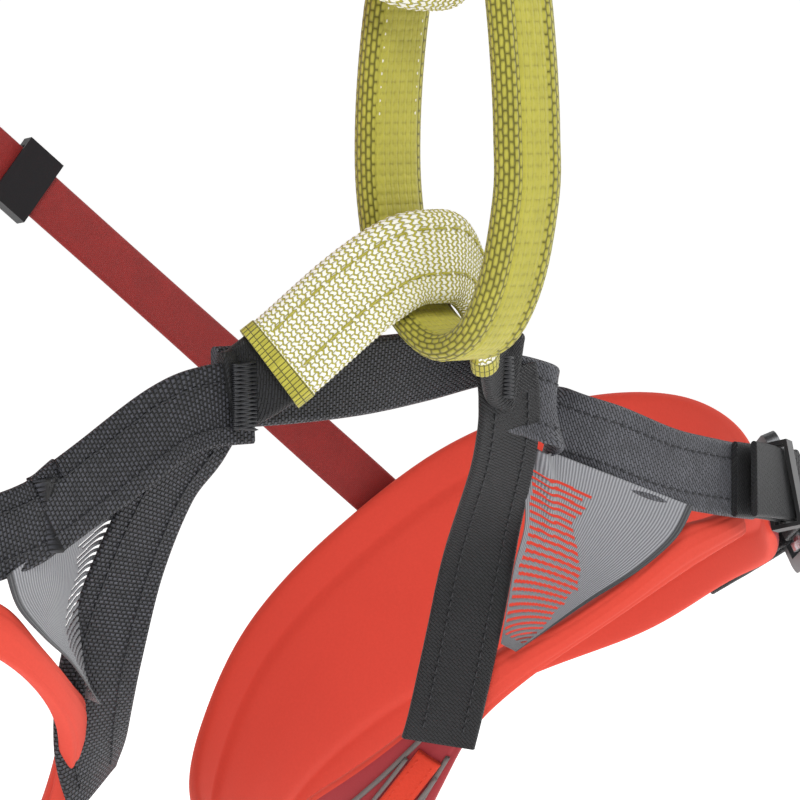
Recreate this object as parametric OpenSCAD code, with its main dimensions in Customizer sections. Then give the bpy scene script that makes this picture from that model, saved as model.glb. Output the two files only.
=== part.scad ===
// Sit harness for climbing work, held in the shape it takes when worn.
// Millimetres. +X is the wearer's left, -Y the front and +Z up.
// The origin is the middle of the waist opening, at the height of the belt.

/* [Fit] */
// Half the width of the waist opening
waist_rx = 150; // [120:1:190]
// Half the depth of the waist opening
waist_ry = 105; // [90:1:130]
// Half the width of one leg opening
leg_rx = 74; // [62:1:92]
// Half the depth of one leg opening
leg_ry = 96; // [78:1:118]
// Drop from the middle of the belt to the lower tie-in point
rise = 145; // [138:1:175]

/* [Webbing] */
// Width of the load webbing
web_w = 22; // [18:0.5:26]
// Thickness of the load webbing
web_t = 1.8; // [1.4:0.1:2.2]
// Width of the belay loop
belay_w = 20; // [16:0.5:24]
// Thickness of the belay loop
belay_t = 6; // [4.5:0.1:7]
// Width of the elastic risers
riser_w = 16; // [12:0.5:20]
// Thickness of the elastic risers
riser_t = 1.5; // [1:0.1:2]

/* [Padding] */
// Thickness of the foam pads
pad_t = 8; // [6:0.5:11]
// Height of the waist pad at the back
waist_pad_h = 100; // [86:1:120]
// Height of the waist pad at its front ends
waist_pad_front = 70; // [64:1:84]

/* [Buckles] */
// Thickness of a buckle frame
frame_t = 4; // [3:0.1:4.4]
// Radius of the bar that the webbing turns round
bar_r = 2.5; // [2:0.1:3]
// Gap between webbing and metal
web_gap = 0.4; // [0.3:0.05:0.6]

/* [Loops] */
// Radius of a moulded gear loop
gear_r = 3.5; // [2.5:0.1:4.5]
// Drop of a gear loop below its axis
gear_drop = 46; // [38:1:60]
// Inner length of the haul loop
haul_len = 46; // [36:1:60]

/* [Hidden] */
$fn = 48;
ply_gap = 0.3;                 // between plies that lie on one another
joint_gap = 3;                 // between webbing ends on either side of a joint
tie_y = -100;                  // front plane of the waist and leg bridges
tie_z = -rise;
leg_c = [leg_rx + 49, tie_y + leg_ry + 6, tie_z - 86];
leg_tilt = 23;                 // how far the outer side of a leg loop is lifted
leg_e = [cos(leg_tilt), 0, sin(leg_tilt)];
leg_n = [-sin(leg_tilt), 0, cos(leg_tilt)];
leg_turn = 30;                 // how far the oval of a leg loop is turned outwards
leg_a = cos(leg_turn) * leg_e + sin(leg_turn) * [0, 1, 0];
leg_b = cos(leg_turn) * [0, 1, 0] - sin(leg_turn) * leg_e;
band_o = pad_t + ply_gap + web_t / 2;   // webbing laid on a pad
frame_o = pad_t + ply_gap + web_t + web_gap + bar_r + 0.5;
ply_z = bar_r + web_gap + web_t / 2;    // plies on either side of a buckle bar
belt_z = 22;                   // height of the two waist bands above and below the middle
steps = 5;

// Leg pad outline: angle round the loop, top edge, bottom edge
leg_rim = [[-78, 33, 6], [-62, 37, -16], [-40, 40, -38], [-15, 38, -50], [10, 30, -56],
    [35, 14, -64], [60, -3, -74], [85, -22, -86], [107, -30, -92], [130, -30, -88],
    [150, -22, -74], [165, -10, -56], [176, -1, -36], [186, 8, -15], [195, 17, 2],
    [204, 24, 11], [214, 26, 17], [228, 31, 22], [241, 37, 24], [253, 33, 23], [264, 29, 20]];

// Waist pad outline: angle round the belt, share of the way from front height to back height
waist_rim = [[-57, 0], [-45, 0.05], [-20, 0.25], [10, 0.5], [40, 0.8], [70, 0.97], [90, 1],
    [110, 0.97], [140, 0.8], [170, 0.5], [200, 0.25], [225, 0.05], [237, 0]];

// ---- curves ----
function unit(v) = v / norm(v);
function mid_curve(a, b, c, d, u) =
    0.5 * (2 * b + (c - a) * u + (2 * a - 5 * b + 4 * c - d) * u * u
    + (3 * b - a - 3 * c + d) * u * u * u);
function smooth(p, n = steps) = [
    for (i = [0 : len(p) - 2]) for (j = [0 : n - 1])
        mid_curve(p[max(i - 1, 0)], p[i], p[i + 1], p[min(i + 2, len(p) - 1)], j / n),
    p[len(p) - 1]];
function xyz(s) = [s[0], s[1], s[2]];
function wid(s) = [s[3], s[4], s[5]];
function slice(p, a, b) = [for (i = [a : b]) p[i]];

// Places on the leg loop and on the belt: angle, height, distance out
function leg_at(a, h, o) = leg_c + (leg_rx + o) * cos(a) * leg_a
    + (leg_ry + o) * sin(a) * leg_b + h * leg_n;
function leg_out(a) = unit(leg_ry * cos(a) * leg_a + leg_rx * sin(a) * leg_b);
function leg_dir(a) = unit(leg_ry * cos(a) * leg_b - leg_rx * sin(a) * leg_a);
// width direction of a band that runs down by the angle b
function leg_w(a, b) = cos(b) * leg_n + sin(b) * leg_dir(a);
function leg_st(a, h, o, b = 0) = concat(leg_at(a, h, o), leg_w(a, b));
function belt_at(a, h, o) = [(waist_rx + o) * cos(a), (waist_ry + o) * sin(a), h];
function belt_out(a) = unit([waist_ry * cos(a), waist_rx * sin(a), 0]);
function belt_st(a, h, o) = concat(belt_at(a, h, o), [0, 0, 1]);
function on_leg(a, h, o, w) = concat(leg_at(a, h, o), w);
function tie(x, y, z, w) = concat([x, tie_y + y, tie_z + z], w);

// ---- solids swept from rings of points ----
module loft(rings, closed = false) {
    m = len(rings[0]);
    k = len(rings);
    last = closed ? k - 1 : k - 2;
    sides = [for (i = [0 : last]) for (j = [0 : m - 1])
        let (a = i * m + j, b = i * m + (j + 1) % m,
            c = ((i + 1) % k) * m + (j + 1) % m, d = ((i + 1) % k) * m + j)
        each [[a, d, b], [b, d, c]]];
    caps = closed ? [] : [[for (j = [0 : m - 1]) j], [for (j = [m - 1 : -1 : 0]) (k - 1) * m + j]];
    polyhedron(points = [for (r = rings) each r], faces = concat(sides, caps), convexity = 8);
}

// A flat band: stations hold a centre and the direction of the width
module band(st, w, t, closed = false) {
    k = len(st);
    loft([for (i = [0 : k - 1])
        let (b = xyz(st[closed ? (i + k - 1) % k : max(i - 1, 0)]),
            f = xyz(st[closed ? (i + 1) % k : min(i + 1, k - 1)]),
            T = unit(f - b), W = unit(wid(st[i]) - (wid(st[i]) * T) * T), N = cross(T, W))
        [for (q = [[-1, -1], [1, -1], [1, 1], [-1, 1]])
            xyz(st[i]) + q[0] * W * w / 2 + q[1] * N * t / 2]], closed);
}

// A round cord
module tube(p, r, sides = 8) {
    k = len(p);
    loft([for (i = [0 : k - 1])
        let (T = unit(p[min(i + 1, k - 1)] - p[max(i - 1, 0)]),
            side = unit(cross(T, [0.1, 0.2, 1])), up = cross(T, side))
        [for (j = [0 : sides - 1])
            p[i] + r * (cos(j * 360 / sides) * side + sin(j * 360 / sides) * up)]]);
}

// Cross-section of a pad between its bottom and top edge, with bevelled rims
function pad_ring(b, t, d) = let (c = min(6, (t - b) / 3), e = min(2, d / 3))
    [[b, e], [b + e, 0], [t - e, 0], [t, e], [t, d - e], [t - c, d], [b + c, d], [b, d - e]];

// Puts a local frame (x along the strap, y across it, z outwards) at a place
module seat(p, w, o) {
    x = unit(cross(w, o));
    z = unit(cross(x, w));
    multmatrix([[x[0], w[0], z[0], p[0]], [x[1], w[1], z[1], p[1]],
        [x[2], w[2], z[2], p[2]], [0, 0, 0, 1]]) children();
}
function seat_st(p, w, o, q) = let (x = unit(cross(w, o)), z = unit(cross(x, w)))
    concat(p + q[0] * x + q[1] * z, w);

// Centre line of webbing that turns round a bar: local x and z of a hairpin
function hairpin(r, n = 6) = [for (i = [0 : n]) let (a = -90 + 180 * i / n) [r * cos(a), r * sin(a)]];

module on_side(s) {
    if (s > 0) children();
    else mirror([1, 0, 0]) children();
}

// ---- buckles, the same at the belt and at the legs ----
frame_len = 36;
rail = 4.5;
window_w = web_w + 9;
module frame_plate() {
    difference() {
        linear_extrude(frame_t, center = true) difference() {
            union() {
                square([frame_len, window_w + 2 * rail - 8], center = true);
                square([frame_len - 8, window_w + 2 * rail], center = true);
                for (x = [-1, 1], y = [-1, 1])
                    translate([x * (frame_len / 2 - 4), y * (window_w / 2 + rail - 4)]) circle(4);
            }
            square([frame_len - 2 * rail, window_w], center = true);
        }
    }
}
slider_l = window_w - 1;
wing = 2.5;
module slider_bar() {
    rotate([90, 0, 0]) cylinder(r = bar_r, h = slider_l, center = true);
    for (y = [-1, 1]) translate([0, y * (slider_l / 2 - wing / 2), 0]) {
        rotate([90, 0, 0]) cylinder(r = bar_r + 1.4, h = wing, center = true);
        translate([2.5, 0, ply_z + 1]) cube([4, wing, 2 * ply_z], center = true);
    }
    translate([6, 0, ply_z + web_t / 2 + 2.4]) cube([10, slider_l, 2], center = true);
}

// Strap of a buckle: in under the frame, round the slider and back on top
function strap_line(p, w, o, front, back) = concat(
    front,
    [seat_st(p, w, o, [-24, -ply_z]), seat_st(p, w, o, [-12, -ply_z])],
    [for (q = hairpin(ply_z)) seat_st(p, w, o, q)],
    [seat_st(p, w, o, [-12, ply_z]), seat_st(p, w, o, [-22, ply_z])],
    back);

// Stitched loop that holds the far bar of a frame to the pad: two plies from the pad
// that run round the bar
module frame_tab(p, w, o, far_low, far_top) {
    r = norm([frame_t, rail]) / 2 + ply_gap + web_t / 2;
    turn = [for (q = hairpin(r)) seat_st(p, w, o, [frame_len / 2 - rail / 2 - q[0], q[1]])];
    band(concat(far_low, turn, far_top), web_w, web_t);
}

// ---- belt ----
buckle_a = -44;
tab_low = band_o + web_t + ply_gap;
keeper_a = -60.5;
module waist_buckle_seat() seat(belt_at(buckle_a, 0, frame_o), [0, 0, 1], belt_out(buckle_a)) children();

waist_lift = 13;
module waist_pad() {
    color("#8f2f33") loft([for (s = smooth(waist_rim))
        let (h = (waist_pad_front + (waist_pad_h - waist_pad_front) * s[1]) / 2)
        [for (q = pad_ring(-h, h, pad_t)) belt_at(s[0], q[0] + waist_lift * s[1], q[1])]]);
}
// One band of webbing over the outside of the belt, at height h, drawn in at the front
band_pinch = 0.018;
module waist_band(h) {
    color("#34353a") band([for (a = [-30 : 6 : 210])
        belt_st(a, h * (1 - band_pinch * max(0, abs(a - 90) - 104)), band_o)], web_w, web_t);
}
module waist_band_upper() waist_band(belt_z);
module waist_band_lower() waist_band(-belt_z);
module waist_mesh() {
    h = belt_z * 2 - web_w - 3;
    color("#6d6e72") band([for (a = [-16 : 6 : 196]) belt_st(a, 0, pad_t + ply_gap + 0.5)], h, 1);
}
module waist_strap(s) {
    p = belt_at(buckle_a, 0, frame_o);
    front = [concat([bridge_half + 0.5, tie_y - 0.3, 0], [0, 0, 1]), belt_st(-63, 0, band_o),
        belt_st(keeper_a, 0, band_o), belt_st(-56, 0, band_o)];
    back = [belt_st(-56, 0, band_o + 2 * web_t), belt_st(keeper_a, 0, band_o + 2 * web_t),
        belt_st(-64, 0, band_o + 2 * web_t), belt_st(-70, 0, band_o + 3 * web_t)];
    color("#34353a") on_side(s)
        band(smooth(strap_line(p, [0, 0, 1], belt_out(buckle_a), front, back), 3), web_w, web_t);
}
module waist_strap_left() waist_strap(1);
module waist_strap_right() waist_strap(-1);
module waist_buckle_frame(s) {
    color("#2c2d30") on_side(s) waist_buckle_seat() frame_plate();
}
module waist_buckle_frame_left() waist_buckle_frame(1);
module waist_buckle_frame_right() waist_buckle_frame(-1);
module waist_buckle_tab(s) {
    color("#34353a") on_side(s) frame_tab(belt_at(buckle_a, 0, frame_o), [0, 0, 1],
        belt_out(buckle_a), [belt_st(-24, 0, tab_low), belt_st(-30, 0, tab_low)],
        [belt_st(-30, 0, tab_low + 1.2 * web_t), belt_st(-24, 0, tab_low + 1.2 * web_t)]);
}
module waist_buckle_tab_left() waist_buckle_tab(1);
module waist_buckle_tab_right() waist_buckle_tab(-1);
module waist_buckle_slider(s) {
    color("#b9bcc0") on_side(s) waist_buckle_seat() slider_bar();
}
module waist_buckle_slider_left() waist_buckle_slider(1);
module waist_buckle_slider_right() waist_buckle_slider(-1);

// Elastic keeper: a flat ring round the strap and its tail
keeper_gap = 0.8;
keeper_w = 8;
module keeper(plies_mid) {
    t = 3 * web_t + 2 * keeper_gap;
    translate([0, 0, plies_mid]) rotate([0, 90, 0]) difference() {
        cube([t + 2.4, web_w + 2 * keeper_gap + 2.4, keeper_w], center = true);
        cube([t, web_w + 2 * keeper_gap, keeper_w + 2], center = true);
    }
}
module waist_keeper(s) {
    color("#1f2022") on_side(s)
        seat(belt_at(keeper_a, 0, band_o), [0, 0, 1], belt_out(keeper_a)) keeper(web_t);
}
module waist_keeper_left() waist_keeper(1);
module waist_keeper_right() waist_keeper(-1);

// ---- tie-in points ----
bridge_half = 54;
loop_t = 3;
sleeve_t = 6.4;
loop_lift = 0.5;
// Half of the arch of a tie-in loop, from the stitched end to the middle.
// Heights run upwards for the lower loop and downwards for the upper one.
// The last value is how far the webbing leans back.
arch_half = [[53, -loop_t - ply_gap - 0.3, 3, 0], [46, -loop_t - ply_gap - 0.9, 5, 0],
    [37, -9, 12, 0.1], [22, -20, 28, 0.18], [10, -26, 36.5, 0.18], [0, -28, 38, 0.18]];
function arch(up) = let (h = [for (q = arch_half) [q[0], q[1], up * q[2], 0, up * q[3], 1]])
    concat(h, [for (i = [len(h) - 2 : -1 : 0]) [-h[i][0], h[i][1], h[i][2], 0, h[i][4], 1]]);
function arch_at(up, z) = [for (s = smooth(arch(up), 4)) s + [0, tie_y, z, 0, 0, 0]];
module tie_in_loop(up, z) {
    color("#34353a") band(arch_at(up, z), web_w, loop_t);
}
module protector(up, z) {
    st = arch_at(up, z);
    n = len(st);
    color("#c3c659") difference() {
        band(slice(st, 8, n - 9), web_w + 3, sleeve_t);
        band(slice(st, 6, n - 7), web_w + 0.8, loop_t + 0.8);
    }
}
module bridge(z) {
    color("#34353a") translate([0, tie_y, z]) cube([2 * bridge_half, loop_t, web_w], center = true);
}
module bartacks(z) {
    for (s = [-1, 1]) color("#232427") translate([s * 49, tie_y - 1.5 * loop_t - ply_gap - 1.6, z])
        cube([9, 0.8, 16], center = true);
}
module upper_bridge() bridge(0);
module upper_tie_in_loop() tie_in_loop(-1, 8);
module upper_protector() protector(-1, 8);
module upper_bartacks() bartacks(5);
module crotch_bridge() bridge(tie_z + 4);
module lower_tie_in_loop() tie_in_loop(1, tie_z);
module lower_protector() protector(1, tie_z);
module lower_bartacks() bartacks(tie_z + 4);

// ---- belay loop ----
belay_y = tie_y - 37;
belay_r = 28;
belay_top = 1;
belay_bottom = tie_z + 23 - web_w / 2;   // clear of the lower sleeve, whatever its width
module belay_oval(r) {
    // centre line, widened or narrowed by r
    mid = (belay_top + belay_bottom) / 2;
    run = belay_top - belay_bottom - belay_t - 2 * belay_r;
    translate([belay_y, mid]) {
        square([2 * (belay_r + r), run], center = true);
        for (s = [-1, 1]) translate([0, s * run / 2]) circle(belay_r + r);
    }
}
module belay_loop() {
    color("#bcbd3e") rotate([90, 0, 90]) linear_extrude(belay_w, center = true) difference() {
        belay_oval(belay_t / 2);
        belay_oval(-belay_t / 2);
    }
}
module belay_stitching() {
    // stitched splice: a thread block on each face of the rear strand
    for (s = [-1, 1])
        color("#8f9130") translate([0, belay_y + belay_r + s * (belay_t / 2 + 0.4), -55])
            cube([belay_w - 4, 0.8, 34], center = true);
}

// ---- gear loops, haul loop and riser bar ----
gear_spots = [-14, 40];
gear_span = 25;
gear_z = belt_z;
gear_o = pad_t + 11;
tab_l = 8;
function gear_end(a, e) = belt_at(a + e * gear_span / 2, gear_z, gear_o);
function gear_dir(a) = unit(gear_end(a, 1) - gear_end(a, -1));
module gear_loop(a, s) {
    u = gear_dir(a);
    o = cross(u, [0, 0, 1]);
    p = gear_end(a, -1);
    q = gear_end(a, 1);
    l = norm(q - p);
    m = (p + q) / 2;
    color("#26272a") on_side(s) {
        tube(concat([p + 5 * u, p - 5 * u, p - 9 * u + [0, 0, -4]],
            [for (t = [15 : 15 : 165]) m - (l / 2 + 9) * cos(t) * u
                + [0, 0, -8 - (gear_drop - 8) * pow(sin(t), 0.8)] + 4 * sin(t) * o],
            [q + 9 * u + [0, 0, -4], q + 5 * u, q - 5 * u]), gear_r, 10);
    }
}
module gear_loop_front_left() gear_loop(gear_spots[0], 1);
module gear_loop_rear_left() gear_loop(gear_spots[1], 1);
module gear_loop_front_right() gear_loop(gear_spots[0], -1);
module gear_loop_rear_right() gear_loop(gear_spots[1], -1);
module gear_loop_tabs() {
    for (s = [-1, 1], a = gear_spots, e = [-1, 1]) color("#34353a") on_side(s) {
        u = gear_dir(a);
        o = cross(u, [0, 0, 1]);
        c = gear_end(a, e);
        depth = gear_o - band_o - web_t;
        multmatrix([[u[0], o[0], 0, c[0]], [u[1], o[1], 0, c[1]], [u[2], o[2], 1, c[2]], [0, 0, 0, 1]])
            difference() {
                translate([0, -(depth - gear_r - 2) / 2, 0])
                    cube([tab_l, depth + gear_r + 2, 2 * gear_r + 4], center = true);
                rotate([0, 90, 0]) cylinder(r = gear_r + 0.4, h = tab_l + 2, center = true);
            }
    }
}

haul_y = waist_ry + pad_t + 14;
haul_z = 4;
haul_bar_r = 3;
haul_t = 2.2;
haul_w = 15;
module bar_with_ears(y, z, len, r, from) {
    // a bar across the back, held by two ears that start at the belt
    translate([0, y, z]) {
        rotate([0, 90, 0]) cylinder(r = r, h = len, center = true);
        for (s = [-1, 1]) translate([s * (len / 2 - 1.5), 0, 0]) {
            rotate([0, 90, 0]) cylinder(r = r + 2, h = 3, center = true);
            translate([0, (from - y) / 2, 0]) cube([3, y - from, 2 * r + 4], center = true);
        }
    }
}
module haul_tab() {
    color("#34353a") bar_with_ears(haul_y, haul_z, haul_w + 10, haul_bar_r, waist_ry + band_o + web_t);
}
module haul_loop() {
    r = haul_bar_r + 0.5;
    color("#8c1c1c") translate([0, haul_y, haul_z]) rotate([90, 0, 90])
        linear_extrude(haul_w, center = true) difference() {
            union() {
                circle(r + haul_t);
                translate([0, -haul_len]) circle(r + haul_t);
                translate([0, -haul_len / 2]) square([2 * (r + haul_t), haul_len], center = true);
            }
            union() {
                circle(r);
                translate([0, -haul_len]) circle(r);
                translate([0, -haul_len / 2]) square([2 * r, haul_len], center = true);
            }
        }
}
riser_y = waist_ry + band_o + web_t / 2 + 1.9;
riser_z = -waist_pad_h / 2 - 18;
riser_bar_r = 3;
hook_x = 16;
hook_r = 6.5;
module riser_bar() {
    color("#34353a") {
        translate([0, riser_y, riser_z]) rotate([0, 90, 0])
            cylinder(r = riser_bar_r, h = 2 * hook_x + 26, center = true);
        translate([0, riser_y, riser_z / 2 - 13]) cube([9, 3, -riser_z - 26], center = true);
    }
}

// ---- leg loop, left side as drawn, right side mirrored ----
leg_buckle_a = -62;
leg_buckle_h = 6;
leg_keeper_a = 275;
leg_keeper_h = 26;
strap_fall = 30;
module leg_pad(s) {
    color("#c9473a") on_side(s) loft([for (q = smooth(leg_rim, 4))
        [for (c = pad_ring(q[2], q[1], pad_t)) leg_at(q[0], c[0], c[1])]]);
}
module leg_top_band(s) {
    color("#4a4b50") on_side(s) band(smooth([
        tie(bridge_half + joint_gap, -2.5, -5.5, [0, 0.1, 1]), tie(66, 0, -8, [-0.1, 0, 1]),
        leg_st(223, 86, band_o), leg_st(232, 73, band_o), leg_st(242, 58, band_o, 10),
        leg_st(254, 45, band_o, 20), leg_st(265, 35, band_o, strap_fall)]), web_w, web_t);
}
module leg_inner_band(s) {
    color("#34353a") on_side(s) band(smooth([
        tie(50, 1.6, -10.5, [1, 0, 0]), tie(53, 7, -24, [1, -0.12, 0.1]),
        on_leg(205.97, 59.2, pad_t + 2.05, [0.9, -0.4, 0.15]),
        on_leg(199.14, 36, pad_t + 2.29, [0.86, -0.48, 0.15]),
        on_leg(192.41, 13.1, pad_t + 4.6, [0.84, -0.5, 0.15]),
        on_leg(189.59, 3.97, pad_t + 5.59, [0.8, -0.55, 0.15])]),
        web_w, web_t);
}
module leg_mesh(s) {
    up = [[71, 8, -16], [80, 7.5, -19], [91, 5, -22.5], [103, 3, -27.5], [113, 2, -31.5]];
    under = [0, 0, -web_w / 2];    // the top edge hangs below the middle of the top band
    low = [[71, 14, -40], [71.5, 23, -66], [80, 20, -72], [93, 11, -63], [110, 3.5, -51]];
    o = [0, tie_y, tie_z];
    t = [0, 1, 0];
    color("#6d6e72") on_side(s)
        loft([for (i = [0 : len(up) - 1])
            [low[i] + o, low[i] + o + t, up[i] + under + o + t, up[i] + under + o]]);
}
module leg_seat() seat(leg_at(leg_buckle_a, leg_buckle_h, frame_o),
    leg_w(leg_buckle_a, strap_fall), leg_out(leg_buckle_a)) children();
module leg_strap(s) {
    p = leg_at(leg_buckle_a, leg_buckle_h, frame_o);
    top = band_o + web_t + ply_gap;
    b = strap_fall;
    lift = 2 * web_t;
    front = [leg_st(257, 42, top, b), leg_st(265, 35, top, b),
        leg_st(leg_keeper_a, leg_keeper_h, top, b), leg_st(282, 20, top, b)];
    back = [leg_st(282, 20, top + lift, b), leg_st(leg_keeper_a, leg_keeper_h, top + lift, b),
        leg_st(266, 34, top + lift, b), leg_st(258, 41, top + lift + web_t, b)];
    color("#34353a") on_side(s) band(smooth(strap_line(p, leg_w(leg_buckle_a, b),
        leg_out(leg_buckle_a), front, back), 3), web_w, web_t);
}
module leg_buckle_frame(s) {
    color("#2c2d30") on_side(s) leg_seat() frame_plate();
}
module leg_buckle_tab(s) {
    b = strap_fall;
    low = band_o + 0.5;
    lift = 1.2 * web_t;
    color("#34353a") on_side(s) frame_tab(leg_at(leg_buckle_a, leg_buckle_h, frame_o),
        leg_w(leg_buckle_a, b), leg_out(leg_buckle_a),
        [for (i = [0 : 2]) leg_st(-28 - 7 * i, -25 + 6 * i, low, b)],
        [for (i = [2 : -1 : 0]) leg_st(-28 - 7 * i, -25 + 6 * i, low + lift, b)]);
}
module leg_buckle_slider(s) {
    color("#b9bcc0") on_side(s) leg_seat() slider_bar();
}
module leg_keeper(s) {
    color("#1f2022") on_side(s)
        seat(leg_at(leg_keeper_a, leg_keeper_h, band_o + web_t + ply_gap),
            leg_w(leg_keeper_a, strap_fall), leg_out(leg_keeper_a)) keeper(web_t);
}

// Risers run from the bar under the belt to the outside of the leg pads
riser_a = 20;
riser_end_o = pad_t + 6;
riser_face = [0.67, 0, 0.74];
function riser_foot() = leg_at(riser_a, -8, riser_end_o);
function riser_head() = [hook_x + 2, riser_y, riser_z - hook_r - 4];
module riser_patch(s) {
    color("#34353a") on_side(s) band([for (a = [riser_a - 7 : 3.5 : riser_a + 7])
        leg_st(a, -24, pad_t + ply_gap + 0.5)], 22, 1);
}
module riser_strap(s) {
    a = riser_head();
    b = riser_foot();
    flat = unit(cross(b - a, leg_out(riser_a)));
    color("#8c1c1c") on_side(s) band(smooth([concat(a, riser_face), concat(a + 0.5 * (b - a), riser_face),
        concat(b, flat)]), riser_w, riser_t);
}
module riser_adjuster(s) {
    a = riser_head();
    b = riser_foot();
    u = unit(b - a);
    w = unit(riser_face - (riser_face * u) * u);
    color("#2c2d30") on_side(s) seat(a + 0.12 * (b - a), w, cross(u, w))
        difference() {
            cube([14, riser_w + 7, 5], center = true);
            cube([16, riser_w + 1, riser_t + 1.6], center = true);
        }
}
module riser_hook(s) {
    color("#2c2d30") on_side(s) translate([hook_x, riser_y, riser_z]) difference() {
        union() {
            rotate([0, 90, 0]) cylinder(r = hook_r, h = 12, center = true);
            translate([0, 0, -hook_r + 1]) cube([12, 7, 6], center = true);
        }
        rotate([0, 90, 0]) cylinder(r = riser_bar_r + 0.4, h = 14, center = true);
        translate([0, -hook_r, 1]) cube([14, 2 * hook_r, 4], center = true);
    }
}

module leg_pad_left() leg_pad(1);
module leg_pad_right() leg_pad(-1);
module leg_top_band_left() leg_top_band(1);
module leg_top_band_right() leg_top_band(-1);
module leg_inner_band_left() leg_inner_band(1);
module leg_inner_band_right() leg_inner_band(-1);
module leg_mesh_left() leg_mesh(1);
module leg_mesh_right() leg_mesh(-1);
module leg_strap_left() leg_strap(1);
module leg_strap_right() leg_strap(-1);
module leg_buckle_frame_left() leg_buckle_frame(1);
module leg_buckle_frame_right() leg_buckle_frame(-1);
module leg_buckle_slider_left() leg_buckle_slider(1);
module leg_buckle_slider_right() leg_buckle_slider(-1);
module leg_buckle_tab_left() leg_buckle_tab(1);
module leg_buckle_tab_right() leg_buckle_tab(-1);
module leg_keeper_left() leg_keeper(1);
module leg_keeper_right() leg_keeper(-1);
module riser_patch_left() riser_patch(1);
module riser_patch_right() riser_patch(-1);
module riser_strap_left() riser_strap(1);
module riser_strap_right() riser_strap(-1);
module riser_adjuster_left() riser_adjuster(1);
module riser_adjuster_right() riser_adjuster(-1);
module riser_hook_left() riser_hook(1);
module riser_hook_right() riser_hook(-1);

waist_pad();
waist_mesh();
waist_band_upper();
waist_band_lower();
waist_strap_left();
waist_strap_right();
waist_buckle_frame_left();
waist_buckle_frame_right();
waist_buckle_tab_left();
waist_buckle_tab_right();
waist_buckle_slider_left();
waist_buckle_slider_right();
waist_keeper_left();
waist_keeper_right();
upper_bridge();
upper_tie_in_loop();
upper_protector();
upper_bartacks();
gear_loop_front_left();
gear_loop_rear_left();
gear_loop_front_right();
gear_loop_rear_right();
gear_loop_tabs();
haul_loop();
haul_tab();
riser_bar();
belay_loop();
belay_stitching();
crotch_bridge();
lower_tie_in_loop();
lower_protector();
lower_bartacks();
leg_pad_left();
leg_top_band_left();
leg_inner_band_left();
leg_mesh_left();
leg_strap_left();
leg_buckle_frame_left();
leg_buckle_tab_left();
leg_buckle_slider_left();
leg_keeper_left();
riser_patch_left();
riser_strap_left();
riser_adjuster_left();
riser_hook_left();
leg_pad_right();
leg_top_band_right();
leg_inner_band_right();
leg_mesh_right();
leg_strap_right();
leg_buckle_frame_right();
leg_buckle_tab_right();
leg_buckle_slider_right();
leg_keeper_right();
riser_patch_right();
riser_strap_right();
riser_adjuster_right();
riser_hook_right();
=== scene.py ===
# %% [markdown]
# # A tree-climbing saddle, from its frame to its stitches
# The imported CAD model holds the place and the motion of every part. This script adds what the
# eye wants: woven webbing, seams, moulded foam, mesh and coated metal. Every new piece is a
# surface worked out with numpy, in the same frame as the CAD, and all but the leg bands and their
# seams ride on one of its bodies.

# %% Load the frame
import bpy
import numpy as np
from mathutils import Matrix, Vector


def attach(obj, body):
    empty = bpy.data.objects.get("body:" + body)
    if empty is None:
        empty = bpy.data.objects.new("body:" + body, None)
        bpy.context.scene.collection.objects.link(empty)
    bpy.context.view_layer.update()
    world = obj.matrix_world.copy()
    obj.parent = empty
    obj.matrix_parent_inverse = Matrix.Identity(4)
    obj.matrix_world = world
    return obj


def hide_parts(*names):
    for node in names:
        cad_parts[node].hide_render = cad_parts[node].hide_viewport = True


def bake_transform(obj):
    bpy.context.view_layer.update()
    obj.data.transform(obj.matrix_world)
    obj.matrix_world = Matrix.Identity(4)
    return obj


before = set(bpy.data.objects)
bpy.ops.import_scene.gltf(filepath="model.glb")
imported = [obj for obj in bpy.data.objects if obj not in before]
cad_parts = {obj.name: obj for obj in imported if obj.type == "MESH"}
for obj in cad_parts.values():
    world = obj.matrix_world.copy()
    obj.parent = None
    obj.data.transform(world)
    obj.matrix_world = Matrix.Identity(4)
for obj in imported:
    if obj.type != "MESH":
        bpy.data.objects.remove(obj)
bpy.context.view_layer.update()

# %% [markdown]
# ## Sizes
# The saddle is cut from 22 mm load webbing, and the other sizes follow from that. Lengths in the
# shape functions are millimetres, as on a maker's drawing, and become metres in the mesh.

# %% Sizes in millimetres
MM = 0.001
WAIST_RX, WAIST_RY = 150.0, 105.0
LEG_RX, LEG_RY = 74.0, 96.0
WEB_W, WEB_T = 22.0, 1.8
BELAY_W, BELAY_T = 20.0, 6.0
PAD_T = 8.0
TIE_Y, TIE_Z = -100.0, -145.0
BAND_OUT = PAD_T + 0.3 + WEB_T / 2
SEAM_OUT = WEB_T / 2 + 0.2
SIDES = {"left": 1, "right": -1}

# %% [markdown]
# ## Camera, floor and light
# A long lens from the wearer's front right, almost level, shows the lower tie-in point and the
# inside of one leg loop. The floor is a large pale sheet under the saddle, and soft area lamps
# stand round it, so nothing has a hard shadow.

# %% Camera
AIM = np.array([0.0, TIE_Y, TIE_Z]) * MM
AZ, EL, FAR = np.radians(-40.0), np.radians(5.0), 1.2
BACK = np.array([np.sin(AZ) * np.cos(EL), -np.cos(AZ) * np.cos(EL), np.sin(EL)])
lens = bpy.data.cameras.new("camera")
lens.lens, lens.sensor_width = 199.8, 36.0
lens.shift_x, lens.shift_y = 0.035, -0.010
lens.clip_end = 100.0
camera = bpy.data.objects.new("camera", lens)
bpy.context.scene.collection.objects.link(camera)
camera.location = AIM + FAR * BACK
camera.rotation_euler = (np.pi / 2 - EL, 0.0, AZ)
bpy.context.scene.camera = camera
bpy.context.scene.view_settings.view_transform = "Standard"


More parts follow.
